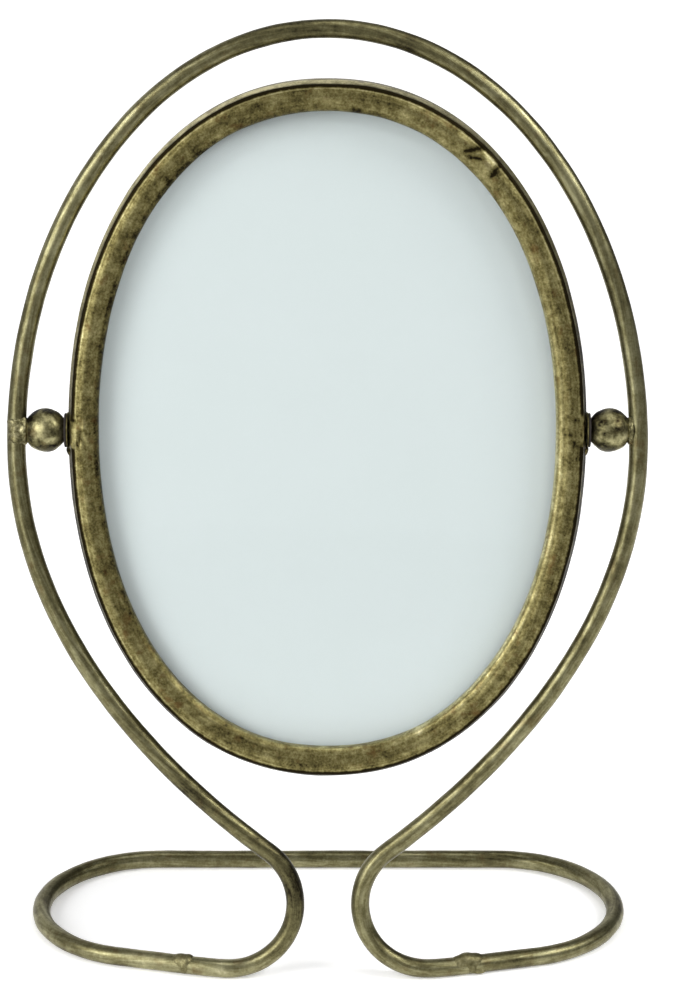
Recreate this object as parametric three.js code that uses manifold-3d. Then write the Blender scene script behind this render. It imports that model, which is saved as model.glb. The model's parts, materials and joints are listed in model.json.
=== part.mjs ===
// Oval photo frame that tilts between two ball pivots on a stand bent from round rod.
// Millimetres, +Z up. The picture faces -Y. The origin is the middle of the stand's footprint, on the table.
import * as THREE from 'three';
import { mergeVertices } from 'three/addons/utils/BufferGeometryUtils.js';
import Module from 'manifold-3d';

// Picture: an oval a little fuller than an ellipse, cut for a 13 x 18 cm photo
const PHOTO_WIDTH = 130;
const PHOTO_HEIGHT = 180;
const OVAL_EXPONENT = 2.16;
const OVAL_SIDES = 72;

// Ring round the picture: a rounded bezel in front and a plain band behind it
const BEZEL_OVERLAP = 5.75;
const BEZEL_THICKNESS = 4;
const BEZEL_ROUNDING = 1.5;
const BEZEL_ROUNDING_STEPS = 2;
const BAND_WALL = 1.85;
const BAND_LIP = 1.4;

// What the ring holds, from front to back
const GLASS_THICKNESS = 2;
const PRINT_THICKNESS = 0.3;
const BOARD_THICKNESS = 3;

// Turn buttons on the back board, whose tips lock into slots in the band
const BUTTON_TURNS_DEG = [56, 124, 236, 304];
const BUTTON_THICKNESS = 0.8;
const BUTTON_WIDTH = 7;
const BUTTON_INSET = 11;
const BUTTON_TIP_REACH = 1.2;
const BUTTON_TAIL = 9;
const BUTTON_TAB_HEIGHT = 2;
const RIVET_DIAMETER = 3;
const RIVET_HEAD_DIAMETER = 6;
const RIVET_HEAD_HEIGHT = 0.9;
const RIVET_HEAD_EDGE = 0.3;

// Ball pivots between the ring and the hoop
const AXIS_DEPTH = 6;
const FLANGE_DIAMETER = 9.5;
const FLANGE_THICKNESS = 0.8;
const PIN_DIAMETER = 4;
const PIN_LENGTH = 7.6;
const PIN_END_ROOM = 0.5;
const WASHER_DIAMETER = 9;
const WASHER_THICKNESS = 0.6;
const BALL_DIAMETER = 11.5;
const BALL_RING_FLAT = 0.8;
const BALL_HOOP_FLAT = 1;

// Stand: one rod makes the hoop with its two curls, another makes the base
const ROD_DIAMETER = 5;
const ROD_SIDES = 12;
const ROD_STEP = 6;
const LEAN_DEG = 9;
const PICTURE_LIFT = 54.85;
const SWING_GAP = 9.9;
const WIDEST_DROP = 5.3;
const LEG_SIDE_HANDLE = 48;
const LEG_FOOT_HANDLE = 38.5;
const LEG_SLOPE_DEG = 37.1;
const CURL_RADIUS = 18.1;
const CURL_SPACING = 17.5;
const BASE_WIDTH = 161;
const BASE_DEPTH = 70;
const BASE_END_RADIUS = 32;
const BEND_RUN = 3;
const JOINT_RUN = 9;

// Weld beads
const WELD_ARC_STEPS = 7;
const HOOP_WELD_BULGE = 0.6;
const HOOP_WELD_LENGTH = 7.4;
const HOOP_WELD_TAPER = 1.2;
const HOOP_WELD_EDGE = 0.2;
const HOOP_WELD_WRAP_DEG = 250;
const JOINT_WELD_BULGE = 1;
const JOINT_WELD_LENGTH = 5.5;
const JOINT_WELD_TAPER = 0.9;
const JOINT_WELD_EDGE = 0.3;
const JOINT_WELD_WRAP_DEG = 205;
const FLANGE_WELD_WIDTH = 1.4;
const FLANGE_WELD_WRAP_DEG = 130;

// Clearances: between pieces at rest on one another, in the pivots, and round the picture
const SEAT_GAP = 0.3;
const RUNNING_GAP = 0.1;
const PACK_CLEARANCE = 0.5;
const LATHE_SIDES = 24;
const RIVET_SIDES = 12;
const BALL_ARC_STEPS = 9;
const VERTEX_TOLERANCE = 1e-4;

const wasm = await Module();
wasm.setup();

// Worked out sizes
const lean = THREE.MathUtils.degToRad(LEAN_DEG);
const rodRadius = ROD_DIAMETER / 2;
const rodCorner = rodRadius / Math.cos(Math.PI / ROD_SIDES);
const bandInside = PACK_CLEARANCE;
const bandOutside = bandInside + BAND_WALL;
const ringHalfWidth = PHOTO_WIDTH / 2 + bandOutside;
const ringHalfHeight = PHOTO_HEIGHT / 2 + bandOutside;

// Depths inside the ring: the tilt axis is at zero and the back is positive
const bezelFront = -AXIS_DEPTH;
const packFront = bezelFront + BEZEL_THICKNESS + SEAT_GAP;
const printFront = packFront + GLASS_THICKNESS + SEAT_GAP;
const boardFront = printFront + PRINT_THICKNESS + SEAT_GAP;
const boardBack = boardFront + BOARD_THICKNESS;
const buttonFront = boardBack + SEAT_GAP;
const buttonBack = buttonFront + BUTTON_THICKNESS;
const slotFront = buttonFront - SEAT_GAP;
const slotBack = buttonBack + SEAT_GAP;
const bandBack = slotBack + BAND_LIP;

// Distances out from the middle along the tilt axis
const flangeStart = ringHalfWidth + SEAT_GAP;
const flangeEnd = flangeStart + FLANGE_THICKNESS;
const washerStart = flangeEnd + RUNNING_GAP;
const ballStart = washerStart + WASHER_THICKNESS + RUNNING_GAP;
const ballRadius = BALL_DIAMETER / 2;
const ballCentre = ballStart + ballRadius - BALL_RING_FLAT;
const ballEnd = ballCentre + ballRadius - BALL_HOOP_FLAT;
const hoopAtPivot = ballEnd + SEAT_GAP + rodCorner;

// The hoop in its leaning plane: heights run up the plane from the rod's middle at the table
const pivotHeight = PICTURE_LIFT + ringHalfHeight;
const widestHeight = pivotHeight - WIDEST_DROP;
const hoopRise = ringHalfHeight + SWING_GAP + rodRadius + WIDEST_DROP;
const pivotSine = WIDEST_DROP / hoopRise;
const hoopHalfWidth = hoopAtPivot / Math.sqrt(1 - pivotSine ** 2);
const hoopTilt = Math.atan(hoopHalfWidth / hoopRise * pivotSine / Math.sqrt(1 - pivotSine ** 2));
const curlCentre = CURL_SPACING / 2 + CURL_RADIUS;

// The stand's footprint
const frontY = -BASE_DEPTH / 2;
const backY = BASE_DEPTH / 2;
const bendX = curlCentre + BEND_RUN;
const endCentreX = BASE_WIDTH / 2 - BASE_END_RADIUS;
const endCentreY = backY - BASE_END_RADIUS;
const bendToEnd = Math.hypot(endCentreX - bendX, endCentreY - frontY);
const sweep = Math.atan2(endCentreY - frontY, endCentreX - bendX) - Math.asin(BASE_END_RADIUS / bendToEnd);
const frontRun = Math.sqrt(bendToEnd ** 2 - BASE_END_RADIUS ** 2);

// Elliptical arc in space
class SpaceArc extends THREE.Curve {
  constructor(centre, along, across, from, to) {
    super();
    Object.assign(this, { centre, along, across, from, to });
  }

  getPoint(t, target = new THREE.Vector3()) {
    const angle = THREE.MathUtils.lerp(this.from, this.to, t);
    target.copy(this.centre).addScaledVector(this.along, Math.cos(angle));
    return target.addScaledVector(this.across, Math.sin(angle));
  }
}

// Another curve run from its end to its start
class Backwards extends THREE.Curve {
  constructor(curve) {
    super();
    this.curve = curve;
  }

  getPoint(t, target = new THREE.Vector3()) {
    return this.curve.getPoint(1 - t, target);
  }
}

function onHoop(x, height) {
  return new THREE.Vector3(x, frontY + height * Math.sin(lean), rodRadius + height * Math.cos(lean));
}

// Point of the base's front run, a distance out from its bend
function onFrontRun(side, distance) {
  const x = side * (bendX + distance * Math.cos(sweep));
  return new THREE.Vector3(x, frontY + distance * Math.sin(sweep), rodRadius);
}

// Half of the hoop below its widest point, from there down to the weld: side is 1 for right and -1 for left
function hoopLeg(side) {
  const slope = THREE.MathUtils.degToRad(LEG_SLOPE_DEG);
  const footX = curlCentre - CURL_RADIUS * Math.sin(slope);
  const footHeight = CURL_RADIUS + CURL_RADIUS * Math.cos(slope);
  const handleX = footX + LEG_FOOT_HANDLE * Math.cos(slope);
  const handleHeight = footHeight + LEG_FOOT_HANDLE * Math.sin(slope);
  const curlMiddle = onHoop(side * curlCentre, CURL_RADIUS);
  const curlSide = new THREE.Vector3(side * CURL_RADIUS, 0, 0);
  const curlUp = onHoop(0, CURL_RADIUS).sub(onHoop(0, 0));
  const curlEnd = onHoop(side * curlCentre, 0);
  const bend = new THREE.Vector3(side * bendX, frontY, rodRadius);
  const hoopEnd = onFrontRun(side, JOINT_RUN - SEAT_GAP / 2);
  return [
    new THREE.CubicBezierCurve3(
      onHoop(side * hoopHalfWidth, widestHeight),
      onHoop(side * hoopHalfWidth, widestHeight - LEG_SIDE_HANDLE),
      onHoop(side * handleX, handleHeight),
      onHoop(side * footX, footHeight),
    ),
    new SpaceArc(curlMiddle, curlSide, curlUp, Math.PI / 2 + slope, Math.PI * 1.5),
    new THREE.QuadraticBezierCurve3(curlEnd, bend, hoopEnd),
  ];
}

function hoopPath() {
  const path = new THREE.CurvePath();
  const upward = onHoop(0, hoopRise).sub(onHoop(0, 0));
  const sideways = new THREE.Vector3(hoopHalfWidth, 0, 0);
  for (const curve of hoopLeg(-1).reverse()) {
    path.add(new Backwards(curve));
  }
  path.add(new SpaceArc(onHoop(0, widestHeight), sideways, upward, Math.PI, 0));
  for (const curve of hoopLeg(1)) {
    path.add(curve);
  }
  return path;
}

// Half of the base, from the middle of its back bar round one end to the weld
function baseHalf(side) {
  const endCentre = new THREE.Vector3(side * endCentreX, endCentreY, rodRadius);
  const endSide = new THREE.Vector3(side * BASE_END_RADIUS, 0, 0);
  const endBack = new THREE.Vector3(0, BASE_END_RADIUS, 0);
  const barMiddle = new THREE.Vector3(0, backY, rodRadius);
  const barEnd = new THREE.Vector3(side * endCentreX, backY, rodRadius);
  return [
    new THREE.LineCurve3(barMiddle, barEnd),
    new SpaceArc(endCentre, endSide, endBack, Math.PI / 2, sweep - Math.PI / 2),
    new THREE.LineCurve3(onFrontRun(side, frontRun), onFrontRun(side, JOINT_RUN + SEAT_GAP / 2)),
  ];
}

function basePath() {
  const path = new THREE.CurvePath();
  for (const curve of baseHalf(-1).reverse()) {
    path.add(new Backwards(curve));
  }
  for (const curve of baseHalf(1)) {
    path.add(curve);
  }
  return path;
}

// Round rod along a path, with a flat of its section turned to the table
function rodAlong(path) {
  const section = [];
  for (let i = 0; i < ROD_SIDES; i += 1) {
    const angle = (i + 0.5) * 2 * Math.PI / ROD_SIDES;
    section.push(new THREE.Vector2(rodCorner * Math.cos(angle), rodCorner * Math.sin(angle)));
  }
  const steps = Math.ceil(path.getLength() / ROD_STEP);
  const settings = { steps, extrudePath: path, bevelEnabled: false };
  return new THREE.ExtrudeGeometry(new THREE.Shape(section), settings);
}

// Point of the picture's oval, moved outwards by an offset, and the direction that is outwards there
function ovalPoint(turn, offset) {
  const across = Math.cos(turn);
  const up = Math.sin(turn);
  const power = 2 / OVAL_EXPONENT;
  const x = PHOTO_WIDTH / 2 * Math.sign(across) * Math.abs(across) ** power;
  const y = PHOTO_HEIGHT / 2 * Math.sign(up) * Math.abs(up) ** power;
  const outwards = new THREE.Vector2(
    Math.sign(across) * Math.abs(across) ** (2 - power) / PHOTO_WIDTH,
    Math.sign(up) * Math.abs(up) ** (2 - power) / PHOTO_HEIGHT,
  ).normalize();
  const point = new THREE.Vector2(x, y).addScaledVector(outwards, offset);
  return { point, outwards };
}

function ovalOutline(offset) {
  const points = [];
  for (let i = 0; i < OVAL_SIDES; i += 1) {
    points.push(ovalPoint(i * 2 * Math.PI / OVAL_SIDES, offset).point);
  }
  return points;
}

function ovalShape(offset) {
  return new THREE.Shape(ovalOutline(offset));
}

function ovalRingShape(inside, outside) {
  const shape = ovalShape(outside);
  shape.holes.push(new THREE.Path(ovalOutline(inside).reverse()));
  return shape;
}

// Flat piece standing in the ring's plane, with its front face at the given depth
function standingPlate(shape, front, thickness, rounding = 0) {
  const plate = new THREE.ExtrudeGeometry(shape, {
    depth: thickness - 2 * rounding,
    curveSegments: RIVET_SIDES,
    bevelEnabled: rounding > 0,
    bevelThickness: rounding,
    bevelSize: rounding,
    bevelOffset: -rounding,
    bevelSegments: BEZEL_ROUNDING_STEPS,
  });
  plate.rotateX(Math.PI / 2);
  plate.translate(0, front + thickness - rounding, 0);
  return plate;
}

// Closed mesh to solid and back, for cuts and joins
function solidOf(geometry) {
  const bare = geometry.clone();
  bare.deleteAttribute('normal');
  bare.deleteAttribute('uv');
  const merged = mergeVertices(bare, VERTEX_TOLERANCE);
  const vertProperties = Float32Array.from(merged.attributes.position.array);
  const triVerts = Uint32Array.from(merged.index.array);
  return new wasm.Manifold(new wasm.Mesh({ numProp: 3, vertProperties, triVerts }));
}

function geometryOf(solid) {
  const { vertProperties, triVerts } = solid.getMesh();
  const geometry = new THREE.BufferGeometry();
  geometry.setAttribute('position', new THREE.BufferAttribute(vertProperties, 3));
  geometry.setIndex(new THREE.BufferAttribute(triVerts, 1));
  geometry.computeVertexNormals();
  return geometry;
}

// Turned piece on the tilt axis: its profile runs outwards from the ring on the given side
function turnedOnAxis(profile, sides, side) {
  const points = profile.map(([radius, distance]) => new THREE.Vector2(radius, distance));
  return new THREE.LatheGeometry(points, sides).rotateZ(-side * Math.PI / 2);
}

// Piece of a tube wall, lying along Z, that wraps round the +Y side
function wallSector(inside, outside, wrapDegrees) {
  const half = THREE.MathUtils.degToRad(wrapDegrees) / 2;
  const shape = new THREE.Shape();
  shape.absarc(0, 0, outside, Math.PI / 2 - half, Math.PI / 2 + half, false);
  shape.absarc(0, 0, inside, Math.PI / 2 + half, Math.PI / 2 - half, true);
  return shape;
}

// Where each turn button pivots on the board, and the way its tip points
function buttonSeat(turnDegrees) {
  const { point, outwards } = ovalPoint(THREE.MathUtils.degToRad(turnDegrees), -BUTTON_INSET);
  return { point, angle: outwards.angle() };
}

const buttonArm = BUTTON_INSET + bandInside + BUTTON_TIP_REACH;
const buttonTipRadius = BUTTON_WIDTH / 2;
const buttonTipCentre = buttonArm - buttonTipRadius;
const rivetHole = (RIVET_DIAMETER / 2 + RUNNING_GAP) / Math.cos(Math.PI / RIVET_SIDES);

// Turn button with its pivot at the origin and its tip along +X, with a finger tab at its tail
function buttonGeometry() {
  const outline = new THREE.Shape();
  outline.absarc(buttonTipCentre, 0, buttonTipRadius, -Math.PI / 2, Math.PI / 2, false);
  outline.lineTo(-BUTTON_TAIL, buttonTipRadius);
  outline.lineTo(-BUTTON_TAIL, -buttonTipRadius);
  outline.holes.push(new THREE.Path().absarc(0, 0, rivetHole, 0, 2 * Math.PI, true));
  const plate = standingPlate(outline, buttonFront, BUTTON_THICKNESS);
  const tab = new THREE.BoxGeometry(BUTTON_THICKNESS, BUTTON_THICKNESS + BUTTON_TAB_HEIGHT, BUTTON_WIDTH);
  const tabMiddle = buttonFront + (BUTTON_THICKNESS + BUTTON_TAB_HEIGHT) / 2;
  tab.translate(-BUTTON_TAIL + BUTTON_THICKNESS / 2, tabMiddle, 0);
  return geometryOf(solidOf(plate).add(solidOf(tab)));
}

// Opening in the band for a button's tip, long enough on one side for the tip to swing out of it
function slotGeometry() {
  const wallDistance = BUTTON_INSET + bandInside;
  const leavingAngle = Math.acos((wallDistance - buttonTipRadius) / buttonTipCentre);
  const swing = buttonTipCentre * Math.sin(leavingAngle) + buttonTipRadius + PACK_CLEARANCE;
  const still = buttonTipRadius + PACK_CLEARANCE;
  const cutMargin = BAND_WALL;
  const box = new THREE.BoxGeometry(BAND_WALL + 2 * cutMargin, slotBack - slotFront, swing + still);
  return box.translate(wallDistance + BAND_WALL / 2, (slotFront + slotBack) / 2, (still - swing) / 2);
}

function bandGeometry() {
  let band = solidOf(standingPlate(ovalRingShape(bandInside, bandOutside), packFront, bandBack - packFront));
  for (const turn of BUTTON_TURNS_DEG) {
    const { point, angle } = buttonSeat(turn);
    const slot = slotGeometry().rotateY(-angle).translate(point.x, 0, point.y);
    band = band.subtract(solidOf(slot));
  }
  return geometryOf(band);
}

function boardGeometry() {
  const shape = ovalShape(0);
  for (const turn of BUTTON_TURNS_DEG) {
    const { point } = buttonSeat(turn);
    shape.holes.push(new THREE.Path().absarc(point.x, point.y, rivetHole, 0, 2 * Math.PI, true));
  }
  return standingPlate(shape, boardFront, BOARD_THICKNESS);
}

// Rivet along the depth, with a low domed head behind the button
function rivetGeometry() {
  const shank = RIVET_DIAMETER / 2;
  const head = RIVET_HEAD_DIAMETER / 2;
  const headStart = buttonBack + SEAT_GAP;
  const headEdge = headStart + RIVET_HEAD_EDGE;
  const profile = [
    [0, boardFront],
    [shank, boardFront],
    [shank, headStart],
    [head, headStart],
    [head, headEdge],
    [shank, headStart + RIVET_HEAD_HEIGHT],
    [0, headStart + RIVET_HEAD_HEIGHT],
  ];
  const points = profile.map(([radius, depth]) => new THREE.Vector2(radius, depth));
  return new THREE.LatheGeometry(points, RIVET_SIDES);
}

// Flanged pin on the ring
function trunnionGeometry(side) {
  const pin = PIN_DIAMETER / 2;
  const profile = [
    [0, flangeStart],
    [FLANGE_DIAMETER / 2, flangeStart],
    [FLANGE_DIAMETER / 2, flangeEnd],
    [pin, flangeEnd],
    [pin, flangeEnd + PIN_LENGTH],
    [0, flangeEnd + PIN_LENGTH],
  ];
  return turnedOnAxis(profile, LATHE_SIDES, side);
}

const pinHole = (PIN_DIAMETER / 2 + RUNNING_GAP) / Math.cos(Math.PI / LATHE_SIDES);

function washerGeometry(side) {
  const profile = [
    [pinHole, washerStart],
    [WASHER_DIAMETER / 2, washerStart],
    [WASHER_DIAMETER / 2, washerStart + WASHER_THICKNESS],
    [pinHole, washerStart + WASHER_THICKNESS],
    [pinHole, washerStart],
  ];
  return turnedOnAxis(profile, LATHE_SIDES, side);
}

// Ball with a blind hole for the pin, flat towards the washer and towards the hoop
function ballGeometry(side) {
  const holeEnd = flangeEnd + PIN_LENGTH + PIN_END_ROOM;
  const profile = [
    [0, holeEnd],
    [pinHole, holeEnd],
    [pinHole, ballStart],
  ];
  const first = Math.acos((ballStart - ballCentre) / ballRadius);
  const last = Math.acos((ballEnd - ballCentre) / ballRadius);
  for (let i = 0; i <= BALL_ARC_STEPS; i += 1) {
    const angle = THREE.MathUtils.lerp(first, last, i / BALL_ARC_STEPS);
    profile.push([ballRadius * Math.sin(angle), ballCentre + ballRadius * Math.cos(angle)]);
  }
  profile.push([0, ballEnd]);
  return turnedOnAxis(profile, LATHE_SIDES, side);
}

// Bead that wraps round the +Y side of a rod along Z, thinner towards its ends
function rodBead({ bulge, length, taper, edge, wrapDegrees }) {
  const inside = rodCorner + SEAT_GAP;
  const bead = new THREE.ExtrudeGeometry(wallSector(inside - edge, inside + bulge, wrapDegrees), {
    depth: length - 2 * taper,
    curveSegments: WELD_ARC_STEPS,
    bevelThickness: taper,
    bevelSize: edge,
    bevelOffset: -edge,
    bevelSegments: 1,
  });
  return bead.translate(0, 0, taper - length / 2);
}

// Braze collar round the hoop's rod, open towards the ball
function hoopWeldGeometry(side) {
  const collar = rodBead({
    bulge: HOOP_WELD_BULGE,
    length: HOOP_WELD_LENGTH,
    taper: HOOP_WELD_TAPER,
    edge: HOOP_WELD_EDGE,
    wrapDegrees: HOOP_WELD_WRAP_DEG,
  });
  return collar.rotateZ(-side * Math.PI / 2);
}

// Bead over the butt joint between the hoop's end and the base
function jointWeldGeometry(side) {
  const bead = rodBead({
    bulge: JOINT_WELD_BULGE,
    length: JOINT_WELD_LENGTH,
    taper: JOINT_WELD_TAPER,
    edge: JOINT_WELD_EDGE,
    wrapDegrees: JOINT_WELD_WRAP_DEG,
  });
  return bead.rotateX(Math.PI / 2).rotateZ(Math.PI / 2 + side * sweep);
}

// Bead under a trunnion's flange
function flangeWeldGeometry(side) {
  const inside = FLANGE_DIAMETER / 2 + SEAT_GAP;
  const shape = wallSector(inside, inside + FLANGE_WELD_WIDTH, FLANGE_WELD_WRAP_DEG);
  const bead = new THREE.ExtrudeGeometry(shape, {
    depth: FLANGE_THICKNESS,
    curveSegments: WELD_ARC_STEPS,
    bevelEnabled: false,
  });
  const start = side > 0 ? flangeStart : -flangeStart - FLANGE_THICKNESS;
  return bead.rotateZ(-Math.PI / 2).rotateY(Math.PI / 2).translate(start, 0, 0);
}

// Finishes
function finish(color, roughness, metalness, opacity = 1) {
  return new THREE.MeshStandardMaterial({ color, roughness, metalness, opacity, transparent: opacity < 1 });
}

const agedBrass = () => finish('#7a7146', 0.45, 0.9);
const brightBraze = () => finish('#a39a63', 0.5, 0.9);
const zincSteel = () => finish('#a9a9a4', 0.4, 0.9);
const clearGlass = () => finish('#eef4f3', 0.03, 0, 0.25);
const whitePaper = () => finish('#dae2e2', 0.8, 0);
const blackFibre = () => finish('#2b2a28', 0.8, 0);
const darkBoard = () => finish('#2a2622', 0.9, 0);

function piece(name, geometry, material) {
  const mesh = new THREE.Mesh(geometry, material);
  mesh.name = name;
  return mesh;
}

// Stand
const frame = new THREE.Group();
frame.add(piece('hoop_rod', rodAlong(hoopPath()), agedBrass()));
frame.add(piece('base_rod', rodAlong(basePath()), agedBrass()));

// Picture, leaning with the hoop and turning about its own X axis
const picture = new THREE.Group();
picture.position.copy(onHoop(0, pivotHeight));
picture.rotation.x = -lean;
frame.add(picture);

for (const [word, side] of [['left', -1], ['right', 1]]) {
  const jointWeld = piece(`joint_weld_${word}`, jointWeldGeometry(side), brightBraze());
  jointWeld.position.copy(onFrontRun(side, JOINT_RUN));
  frame.add(jointWeld);

  const hoopWeld = piece(`hoop_weld_${word}`, hoopWeldGeometry(side), brightBraze());
  hoopWeld.position.x = side * hoopAtPivot;
  hoopWeld.rotation.y = -side * hoopTilt;
  picture.add(hoopWeld);

  picture.add(piece(`pivot_ball_${word}`, ballGeometry(side), agedBrass()));
  picture.add(piece(`pivot_washer_${word}`, washerGeometry(side), blackFibre()));
  picture.add(piece(`trunnion_${word}`, trunnionGeometry(side), agedBrass()));
  picture.add(piece(`flange_weld_${word}`, flangeWeldGeometry(side), brightBraze()));
}

const bezelShape = ovalRingShape(-BEZEL_OVERLAP, bandOutside);
const bezelPlate = standingPlate(bezelShape, bezelFront, BEZEL_THICKNESS, BEZEL_ROUNDING);
picture.add(piece('bezel', bezelPlate, agedBrass()));
picture.add(piece('rear_band', bandGeometry(), agedBrass()));
picture.add(piece('glass_pane', standingPlate(ovalShape(0), packFront, GLASS_THICKNESS), clearGlass()));
picture.add(piece('photo_print', standingPlate(ovalShape(0), printFront, PRINT_THICKNESS), whitePaper()));
picture.add(piece('back_board', boardGeometry(), darkBoard()));

BUTTON_TURNS_DEG.forEach((turn, index) => {
  const { point, angle } = buttonSeat(turn);
  const button = piece(`turn_button_${index + 1}`, buttonGeometry(), zincSteel());
  button.position.set(point.x, 0, point.y);
  button.rotation.y = -angle;
  picture.add(button);

  const rivet = piece(`button_rivet_${index + 1}`, rivetGeometry(), zincSteel());
  rivet.position.set(point.x, 0, point.y);
  picture.add(rivet);
});

export default frame;
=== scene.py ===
"""Looks of an oval photo frame in aged brass that tilts on ball pivots inside a stand of bent rod.

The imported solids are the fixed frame, in metres.
Each piece is modelled over its own solid and stands for it.
Pieces of the picture are made lying on the bench with their fronts up, and are then stood up in the hoop.
"""
import json
import logging
import math
from contextlib import contextmanager
from dataclasses import dataclass, replace
from enum import Enum
from functools import partial
from typing import Callable, Iterator, Sequence

import bmesh
import bpy
from mathutils import Matrix, Vector, noise
from mathutils.geometry import interpolate_bezier
from mathutils.kdtree import KDTree


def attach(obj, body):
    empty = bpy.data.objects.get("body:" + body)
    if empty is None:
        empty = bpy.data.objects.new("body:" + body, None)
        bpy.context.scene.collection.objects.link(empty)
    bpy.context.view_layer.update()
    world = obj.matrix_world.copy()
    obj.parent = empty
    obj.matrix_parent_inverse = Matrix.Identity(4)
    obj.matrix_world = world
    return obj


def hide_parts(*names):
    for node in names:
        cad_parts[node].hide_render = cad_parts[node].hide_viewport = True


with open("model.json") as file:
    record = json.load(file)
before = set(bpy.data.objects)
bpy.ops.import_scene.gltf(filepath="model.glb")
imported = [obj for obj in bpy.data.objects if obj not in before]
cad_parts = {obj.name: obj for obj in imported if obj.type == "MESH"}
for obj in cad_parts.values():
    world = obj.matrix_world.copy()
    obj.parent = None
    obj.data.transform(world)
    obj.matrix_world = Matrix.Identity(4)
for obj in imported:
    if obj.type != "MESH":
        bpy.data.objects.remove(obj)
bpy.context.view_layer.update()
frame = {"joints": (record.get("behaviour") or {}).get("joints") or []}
LOG = logging.getLogger("photo_frame")

Piece = bpy.types.Object
Point = tuple[float, float, float]
Flat = tuple[float, float]

MM = 0.001
JOINTS = {joint["name"]: joint for joint in frame["joints"]}
PIVOT = Vector(JOINTS["picture_tilt"]["pos_m"])
LEAN = math.asin(-JOINTS["button_1_turn"]["axis"][2])
STOOD_UP = (math.pi / 2 - LEAN, 0, 0)
ON_TILT_AXIS = (0, math.pi / 2, 0)
# The real ring is a little wider than its solid and hangs a little lower
RING_WIDTH = 131.4 * MM
RING_DROP = 0.6 * MM
# Vertex attributes that the finishes read: rubbing with painted highlights, grime with painted shade, and
# the place in brushed streaks
RUBBED_AND_HIGHLIGHT = "rubbed"
GRIME_AND_SHADE = "grime"
BRUSH_RUN = "brush_run"
# Brushed streaks are ten times as long as they are wide
BRUSH_STRETCH = 0.1
# Distances at which two places count as one, for merging, cutting and selecting
MERGED = 0.002 * MM
ON_CUT = 0.001 * MM
SAME_LEVEL = 0.01 * MM
BRAZE_VOXEL = 0.28 * MM
# Sockets of a Mix node, which share their names
FACTOR, NUMBER_A, NUMBER_B, COLOUR_A, COLOUR_B = 0, 2, 3, 6, 7


class Side(Enum):
    """The two sides of the frame, as signs of X."""

    LEFT = -1
    RIGHT = 1

    @property
    def word(self) -> str:
        """Name of the side as the solids' names have it."""
        return self.name.lower()


class Body(Enum):
    """The moving bodies that the pieces ride on."""

    STAND = "stand"
    PICTURE = "picture"


class Slot(Enum):
    """Material slots of the record."""

    BRASS = "aged_brass"
    BRAZE = "braze"
    GLASS = "glass"
    PRINT = "print"
    BOARD = "board"
    ZINC = "zinc_steel"
    FIBRE = "fibre_washer"


class Element(Enum):
    """What an edit selects."""

    EDGE = "EDGE"
    FACE = "FACE"


# Sums that come up more than once

def fade(distance: float, reach: float) -> float:
    """Bell-shaped share, which is one at no distance and has faded past the reach."""
    return math.exp(-((distance / reach) ** 2))


def signed_power(value: float, power: float) -> float:
    """Power of a number's size, with the number's sign."""
    return math.copysign(abs(value) ** power, value)


def arc_handle(angle: float, radius: float) -> float:
    """Length of the handles that bend a line round an arc."""
    return 4 / 3 * math.tan(angle / 4) * radius


# Bench tools

def pick(piece: Piece) -> None:
    """Make a piece the only selected object and the active one.

    Args:
        piece: The object to pick.
    """
    bpy.ops.object.select_all(action="DESELECT")
    piece.select_set(True)
    bpy.context.view_layer.objects.active = piece


@contextmanager
def editing(piece: Piece) -> Iterator[None]:
    """Hold a piece in edit mode, with nothing selected at first.

    Args:
        piece: The mesh object to edit.

    Yields:
        Nothing: the edit acts on the active object.
    """
    pick(piece)
    bpy.ops.object.mode_set(mode="EDIT")
    bpy.ops.mesh.select_mode(type=Element.FACE.value)
    bpy.ops.mesh.select_all(action="DESELECT")
    yield
    bpy.ops.object.mode_set(mode="OBJECT")


def choose(piece: Piece, element: Element, test: Callable[[Vector, Vector], bool]) -> None:
    """Select the faces or edges of an edited mesh that pass a test, and nothing else.

    Args:
        piece: The object in edit mode.
        element: The kind of part to select.
        test: Says whether to take a part, given its middle and its direction: a normal, or an edge's run.
    """
    bpy.ops.mesh.select_mode(type=element.value)
    bpy.ops.mesh.select_all(action="DESELECT")
    mesh = bmesh.from_edit_mesh(piece.data)
    mesh.normal_update()
    if element is Element.FACE:
        parts = [(face, face.calc_center_median(), face.normal) for face in mesh.faces]
    else:
        ends = [(edge, edge.verts[0].co, edge.verts[1].co) for edge in mesh.edges]
        parts = [(edge, (start + end) / 2, end - start) for edge, start, end in ends]
    for part, middle, direction in parts:
        if test(middle, direction):
            part.select_set(True)
    mesh.select_flush_mode()
    bmesh.update_edit_mesh(piece.data)


def draw_out(reach: Point) -> None:
    """Extrude what is selected in an edited mesh."""
    bpy.ops.mesh.extrude_region_move(TRANSFORM_OT_translate={"value": reach})


def paint_selected(piece: Piece, layer_name: str, value: float) -> None:
    """Store a value on the selected vertices of an edited mesh, for the finish to read.

    Args:
        piece: The object in edit mode.
        layer_name: The attribute's name.
        value: What to store.
    """
    mesh = bmesh.from_edit_mesh(piece.data)
    layer = mesh.verts.layers.float.get(layer_name) or mesh.verts.layers.float.new(layer_name)
    for vert in mesh.verts:
        if vert.select:
            vert[layer] = value
    bmesh.update_edit_mesh(piece.data)


def open_middle(piece: Piece) -> None:
    """Cut away the flat faces over and under the middle of an edited ring, and join the rims they leave.

    Args:
        piece: The object in edit mode, whose two many-sided faces cover its middle.
    """
    mesh = bmesh.from_edit_mesh(piece.data)
    most = max(len(face.verts) for face in mesh.faces)
    for face in mesh.faces:
        face.select_set(len(face.verts) == most)
    mesh.select_flush_mode()
    bmesh.update_edit_mesh(piece.data)
    bpy.ops.mesh.delete(type="ONLY_FACE")
    bpy.ops.mesh.select_mode(type=Element.EDGE.value)
    bpy.ops.mesh.select_all(action="DESELECT")
    bpy.ops.mesh.select_non_manifold()
    bpy.ops.mesh.bridge_edge_loops()


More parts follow.
